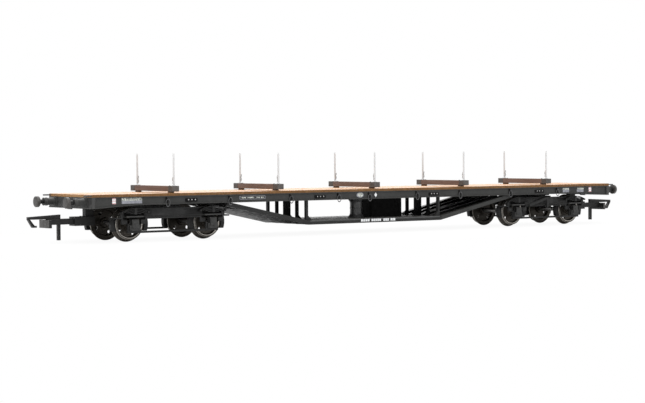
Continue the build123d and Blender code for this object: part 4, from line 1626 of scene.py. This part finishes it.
# ---- bogies
@dataclass
class Bogie:
    """One bogie: side frames, springs, axleboxes, brake shoes and lever."""

    shop: Workshop
    end: str
    leaves: int = 4
    leaf: float = 0.27
    leaf_step: float = 0.56
    leaf_cuts: int = 8
    spring_tip: float = 0.5
    hollow_depth: float = 0.55
    lower_half: float = 4.4
    lower_hollow: Pair = (1.70, 2.45)
    upper_half: float = 4.0
    upper_hollow: Pair = (2.95, 5.15)
    seat_half: float = 3.4
    seat_reach: float = 0.7
    lip_half: float = 11.4
    lips: Tuple[Pair, ...] = ((-0.42, -0.06), (-3.72, -3.36))
    rivets: int = 9
    rivet_start: float = -9.6
    rivet_step: float = 2.4
    rivet_rows: Pair = (0.85, 2.85)

    @property
    def body(self) -> str:
        """The CAD body that the bogie's pieces ride on."""
        return f"bogie_{self.end}"

    def build(self) -> None:
        """Dress every node of the bogie."""
        self.round_off("transom", "cross_beam", 0.10)
        self.make_side_frames()
        springs = [self.make_spring(box) for box in self.corners("springs")]
        self.keep(join(springs), "leaf_springs", BOGIE_BLACK, "springs")
        boxes = [self.make_axlebox(box) for box in self.corners("axleboxes")]
        self.keep(join(boxes), "axlebox_set", BOGIE_PAINTED_LIGHT, "axleboxes")
        self.round_off("brake_shoes", "clasp_brakes", 0.06)
        self.round_off("brake_lever", "hand_lever", 0.07)

    def keep(self, piece: Piece, name: str, finish: Finish, part: str) -> None:
        """Keep a finished piece in place of one part of the bogie."""
        self.shop.keep(piece, f"{self.body}_{name}", finish, [f"{self.body}_{part}"], self.body)

    def round_off(self, part: str, name: str, width: float) -> None:
        """Keep a part's own shape with rounded edges."""
        piece = soften(self.shop.cast(f"{self.body}_{part}"), width)
        self.keep(piece, name, BOGIE_BLACK, part)

    def make_side_frames(self) -> None:
        """Both side plates with rivets and a raised lip along the top and bottom."""
        wheels = [self.shop.joint(f"wheelset_{self.end}_{axle}_roll") for axle in (1, 2)]
        for number in (1, 2):
            node = f"{self.body}_side_{number}"
            box = self.shop.box(node)
            sign = math.copysign(1.0, box.middle.y)
            face = box.end(Axis.Y, sign)
            root = face - sign * BASE_ROOT
            middle = box.middle.x
            top = box.high.z
            plate = paint(soften(self.shop.cast(node), 0.07), BOGIE_BLACK)
            pieces = [carve(plate, self.hollow_cutter(wheels, face, sign))]
            y = ordered(root, face + sign * 0.16)
            for low, high in self.lips:
                lip = block(about(middle, self.lip_half), y, (top + low, top + high))
                pieces.append(paint(lip, BOGIE_BLACK))
            # Paler seats between the hollows: painted light on the parts that stand out.
            y = ordered(root, face + sign * self.seat_reach)
            for wheel in wheels:
                z = (wheel.z + self.lower_hollow[1], wheel.z + self.upper_hollow[0])
                seat = block(about(wheel.x, self.seat_half), y, z, 0.05)
                pieces.append(paint(seat, BOGIE_PAINTED_LIGHT))
            for step in range(self.rivets):
                x = middle + self.rivet_start + self.rivet_step * step
                for drop in self.rivet_rows:
                    head = rivet((x, face, top - drop), Axis.Y, 0.17, sign * 0.12)
                    pieces.append(paint(outward(head), BOGIE_BLACK))
            self.keep(join(pieces), f"side_frame_{number}", BOGIE_BLACK, f"side_{number}")

    def hollow_cutter(self, wheels: Sequence[Vector], face: float, sign: float) -> Piece:
        """What is cut out of a side plate behind each spring and above each axlebox; its
        near-black goes onto the cut faces as painted shade in the hollows.

        Args:
            wheels: the middles of the bogie's axles.
            face: the plate's outer face.
            sign: -1 for the near side and 1 for the far one.

        Returns:
            The cutting blocks as one piece.
        """
        y = ordered(face - sign * self.hollow_depth, face + sign * 1.0)
        hollows = ((self.lower_half, self.lower_hollow), (self.upper_half, self.upper_hollow))
        blocks = [
            block(about(wheel.x, half), y, (wheel.z + low, wheel.z + high), 0.05)
            for wheel in wheels for half, (low, high) in hollows
        ]
        return paint(join(blocks), BLACK_AND_SHADE)

    def corners(self, part: str) -> List[Box]:
        """The boxes of a part's four solids, one at each wheel."""
        source = self.shop.frame["nodes"][f"{self.body}_{part}"]
        middle = self.shop.joint(f"{self.body}_swivel")
        groups: Dict[Tuple[bool, bool], List[Vector]] = {}
        for corner in source.data.vertices:
            spot = corner.co / MM
            groups.setdefault((spot.x > middle.x, spot.y > 0), []).append(spot)
        boxes = []
        for spots in groups.values():
            axes = list(zip(*spots))
            low = Vector([min(values) for values in axes])
            boxes.append(Box(low, Vector([max(values) for values in axes])))
        return boxes

    def make_spring(self, box: Box) -> Piece:
        """One leaf spring.

        Args:
            box: the box that its CAD solid fills.

        Returns:
            The joined leaves, buckle and end shackles.
        """
        half = box.size.x / 2
        camber = box.size.z - self.spring_tip
        middle = box.middle.x
        pieces = []
        for number in range(self.leaves):
            reach = half * (1.0 - 0.2 * number)
            upper = []
            for step in range(self.leaf_cuts + 1):
                x = -reach + 2 * reach * step / self.leaf_cuts
                z = box.high.z - number * self.leaf_step - camber * (x / half) ** 2
                upper.append((middle + x, z))
            lower = [(x, z - self.leaf) for x, z in reversed(upper)]
            pieces.append(prism(upper + lower, Axis.Y, box.span(Axis.Y), 0.03))
        buckle = (box.high.z - 2.3, box.high.z - 0.02)
        pieces.append(block(about(middle, 0.55), box.span(Axis.Y, -0.14), buckle, 0.1))
        start, end = box.span(Axis.Y, -0.05)
        z = box.high.z - camber - 0.15
        for side in BOTH:
            place = (middle + side * (half - 0.35), 0.0, z)
            profile = [(start, 0.0), (start, 0.36), (end, 0.36), (end, 0.0)]
            pieces.append(soften(turned(profile, Axis.Y, place, steps=16), 0.05))
        return join(pieces)

    def make_axlebox(self, box: Box) -> Piece:
        """One axlebox with a raised lid and a bolted foot.

        Args:
            box: the box that its CAD solid fills.

        Returns:
            The painted axlebox.
        """
        sign = math.copysign(1.0, box.middle.y)
        face = box.end(Axis.Y, sign)
        back = box.end(Axis.Y, -sign)
        low = box.low.z
        middle = box.middle
        step = face - sign * 0.45
        y = ordered(back, face - sign * 0.25)
        # The axlebox is painted paler, as painted light, with its two side faces near-black as
        # painted shade.
        body = paint(fill(box, rounding=0.12, y=y, z=(low, box.high.z - 0.5)), BOGIE_PAINTED_LIGHT)
        sides = box.span(Axis.X, 0.05)
        paint_where(body, BLACK_AND_SHADE, lambda spot: not sides[0] < spot.x < sides[1])
        y = ordered(face - sign * 0.3, face)
        lid = fill(box, 0.3, 0.12, y=y, z=(low + 0.9, box.high.z - 0.85))
        foot = fill(box, -0.5, 0.1, y=ordered(back, step), z=(low, middle.z - 0.25))
        pieces = [lid, foot]
        for dx in (-1.6, 1.6):
            for dz in (0.4, 1.55):
                bolt = rivet((middle.x + dx, step, low + dz), Axis.Y, 0.24, sign * 0.22)
                pieces.append(outward(bolt))
        boss = rivet((middle.x, face, middle.z + 0.1), Axis.Y, 0.62, sign * 0.12)
        pieces.append(outward(boss))
        return join([body] + [paint(piece, BOGIE_PAINTED_LIGHT) for piece in pieces])


# ---- wheelsets
@dataclass
class Wheelset:
    """Two wheels on an axle."""

    shop: Workshop
    end: str
    sign: float
    number: int
    back: float = 7.25
    width: float = 2.7
    flange: float = 0.7
    rim: float = 0.9
    holes: int = 4
    hole_radius: float = 0.65
    hole_inset: float = 0.3
    hub: float = 1.7
    bore: float = 1.0
    highlight_band: float = 0.45
    journal: float = 0.6
    journal_reach: float = 1.18
    turns: Pair = (45.0, 61.0)

    def build(self) -> None:
        """Place two wheels and an axle."""
        body = f"wheelset_{self.end}_{self.number}"
        place = self.shop.joint(f"{body}_roll")
        spot = moved(place.x, 0.0, place.z)
        angle = math.radians(-self.sign * self.turns[self.number - 1])
        rolled = spot @ Matrix.Rotation(angle, 4, "Y")
        node = f"wheels_{self.end}_{self.number}"
        wheel = self.make_wheel(self.shop.box(node).size.z / 2)
        pair = repeated(wheel, [rolled, rolled @ mirrored(Axis.Y)])
        self.shop.keep(pair, f"{body}_wheels", WHEEL_DARK, [node], body)
        node = f"axle_{self.end}_{self.number}"
        axle = shift(self.make_axle(self.shop.box(node)), spot)
        self.shop.keep(axle, f"{body}_axle", AXLE_STEEL, [node], body)

    def make_wheel(self, radius: float) -> Piece:
        """The far wheel: a coned tread, a rounded flange, dished faces and four holes.

        Args:
            radius: the radius over the flange.

        Returns:
            The painted wheel about its own centre.
        """
        back = self.back
        front = back + self.width
        edge = front - self.highlight_band
        tread = radius - self.flange
        inner = tread - self.rim
        hub = self.hub
        web = (back + 0.95, front - 0.85)
        profile = [
            (back + 0.25, self.bore), (back + 0.25, hub - 0.15), (back + 0.4, hub),
            (web[0], hub + 0.25), (web[0], inner - 0.35), (back + 0.35, inner - 0.08),
            (back + 0.08, inner), (back, inner + 0.12), (back, radius - 0.3),
            (back + 0.08, radius - 0.08), (back + 0.25, radius), (back + 0.42, radius - 0.06),
            (back + 0.55, radius - 0.3), (back + 0.66, tread + 0.12), (back + 0.85, tread),
            (edge, tread - 0.02), (front - 0.12, tread - 0.06), (front, tread - 0.18),
            (front, inner + 0.38), (front, inner + 0.16), (front - 0.08, inner + 0.04),
            (front - 0.4, inner - 0.08), (web[1], inner - 0.35), (web[1], hub + 0.3),
            (front - 0.35, hub), (front - 0.15, hub - 0.12), (front - 0.15, self.bore),
            (back + 0.25, self.bore),
        ]
        wheel = paint(turned(profile, Axis.Y, steps=72), WHEEL_DARK)
        drill = [(back, 0.0), (back, self.hole_radius), (front, self.hole_radius), (front, 0.0)]
        circle = inner - self.hole_inset - self.hole_radius
        drills = []
        for number in range(self.holes):
            angle = 2 * math.pi * number / self.holes
            place = (circle * math.cos(angle), 0.0, circle * math.sin(angle))
            drills.append(turned(drill, Axis.Y, place, steps=20))
        smooth(carve(wheel, paint(join(drills), WHEEL_DARK)), 35.0)
        # Painted highlights along the rim's outer edge, the flange tip and the inner edge of the
        # rim's face, with a dull tread between.
        bands = (
            (TREAD_DULL, (back + 0.6, edge), (tread - 0.2, math.inf)),
            (RIM_HIGHLIGHT, (edge, math.inf), (tread - 0.2, radius)),
            (RIM_HIGHLIGHT, (front - 0.1, math.inf), (inner, inner + 0.35)),
            (RIM_HIGHLIGHT, (back, math.inf), (radius - 0.07, radius)),
        )
        for finish, across, out in bands:
            paint_where(
                wheel, finish,
                lambda spot: across[0] < spot.y < across[1]
                and out[0] < math.hypot(spot.x, spot.z) < out[1],
            )
        return wheel

    def make_axle(self, box: Box) -> Piece:
        """A stepped axle with coned ends, about its own centre."""
        end = -box.size.y / 2
        radius = box.size.z / 2
        thin = self.journal
        step = end + self.journal_reach
        half = [
            (end, 0.0), (end + 0.08, thin * 0.75), (end + 0.25, thin), (step, thin),
            (step, radius - 0.08), (step + 0.1, radius), (-1.2, radius), (-1.0, radius - 0.12),
        ]
        return turned(symmetric(half), Axis.Y, steps=28)


def main() -> None:
    """Load the frame and dress it piece by piece."""
    logging.basicConfig(level=logging.INFO, format="%(name)s: %(message)s")
    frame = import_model()
    shop = Workshop(frame)
    Studio().build()
    Deck(shop).build()
    Underframe(shop).build()
    Marks(shop).build()
    LoadBolsters(shop).build()
    BrakeGear(shop).build()
    for end, sign in ENDS:
        Buffers(shop, end, sign).build()
        Coupling(shop, end, sign).build()
        Bogie(shop, end).build()
        for number in (1, 2):
            Wheelset(shop, end, sign, number).build()
    deselect()
    LOG.info("%d pieces in all", len(shop.made))


if __name__ == "__main__":
    main()
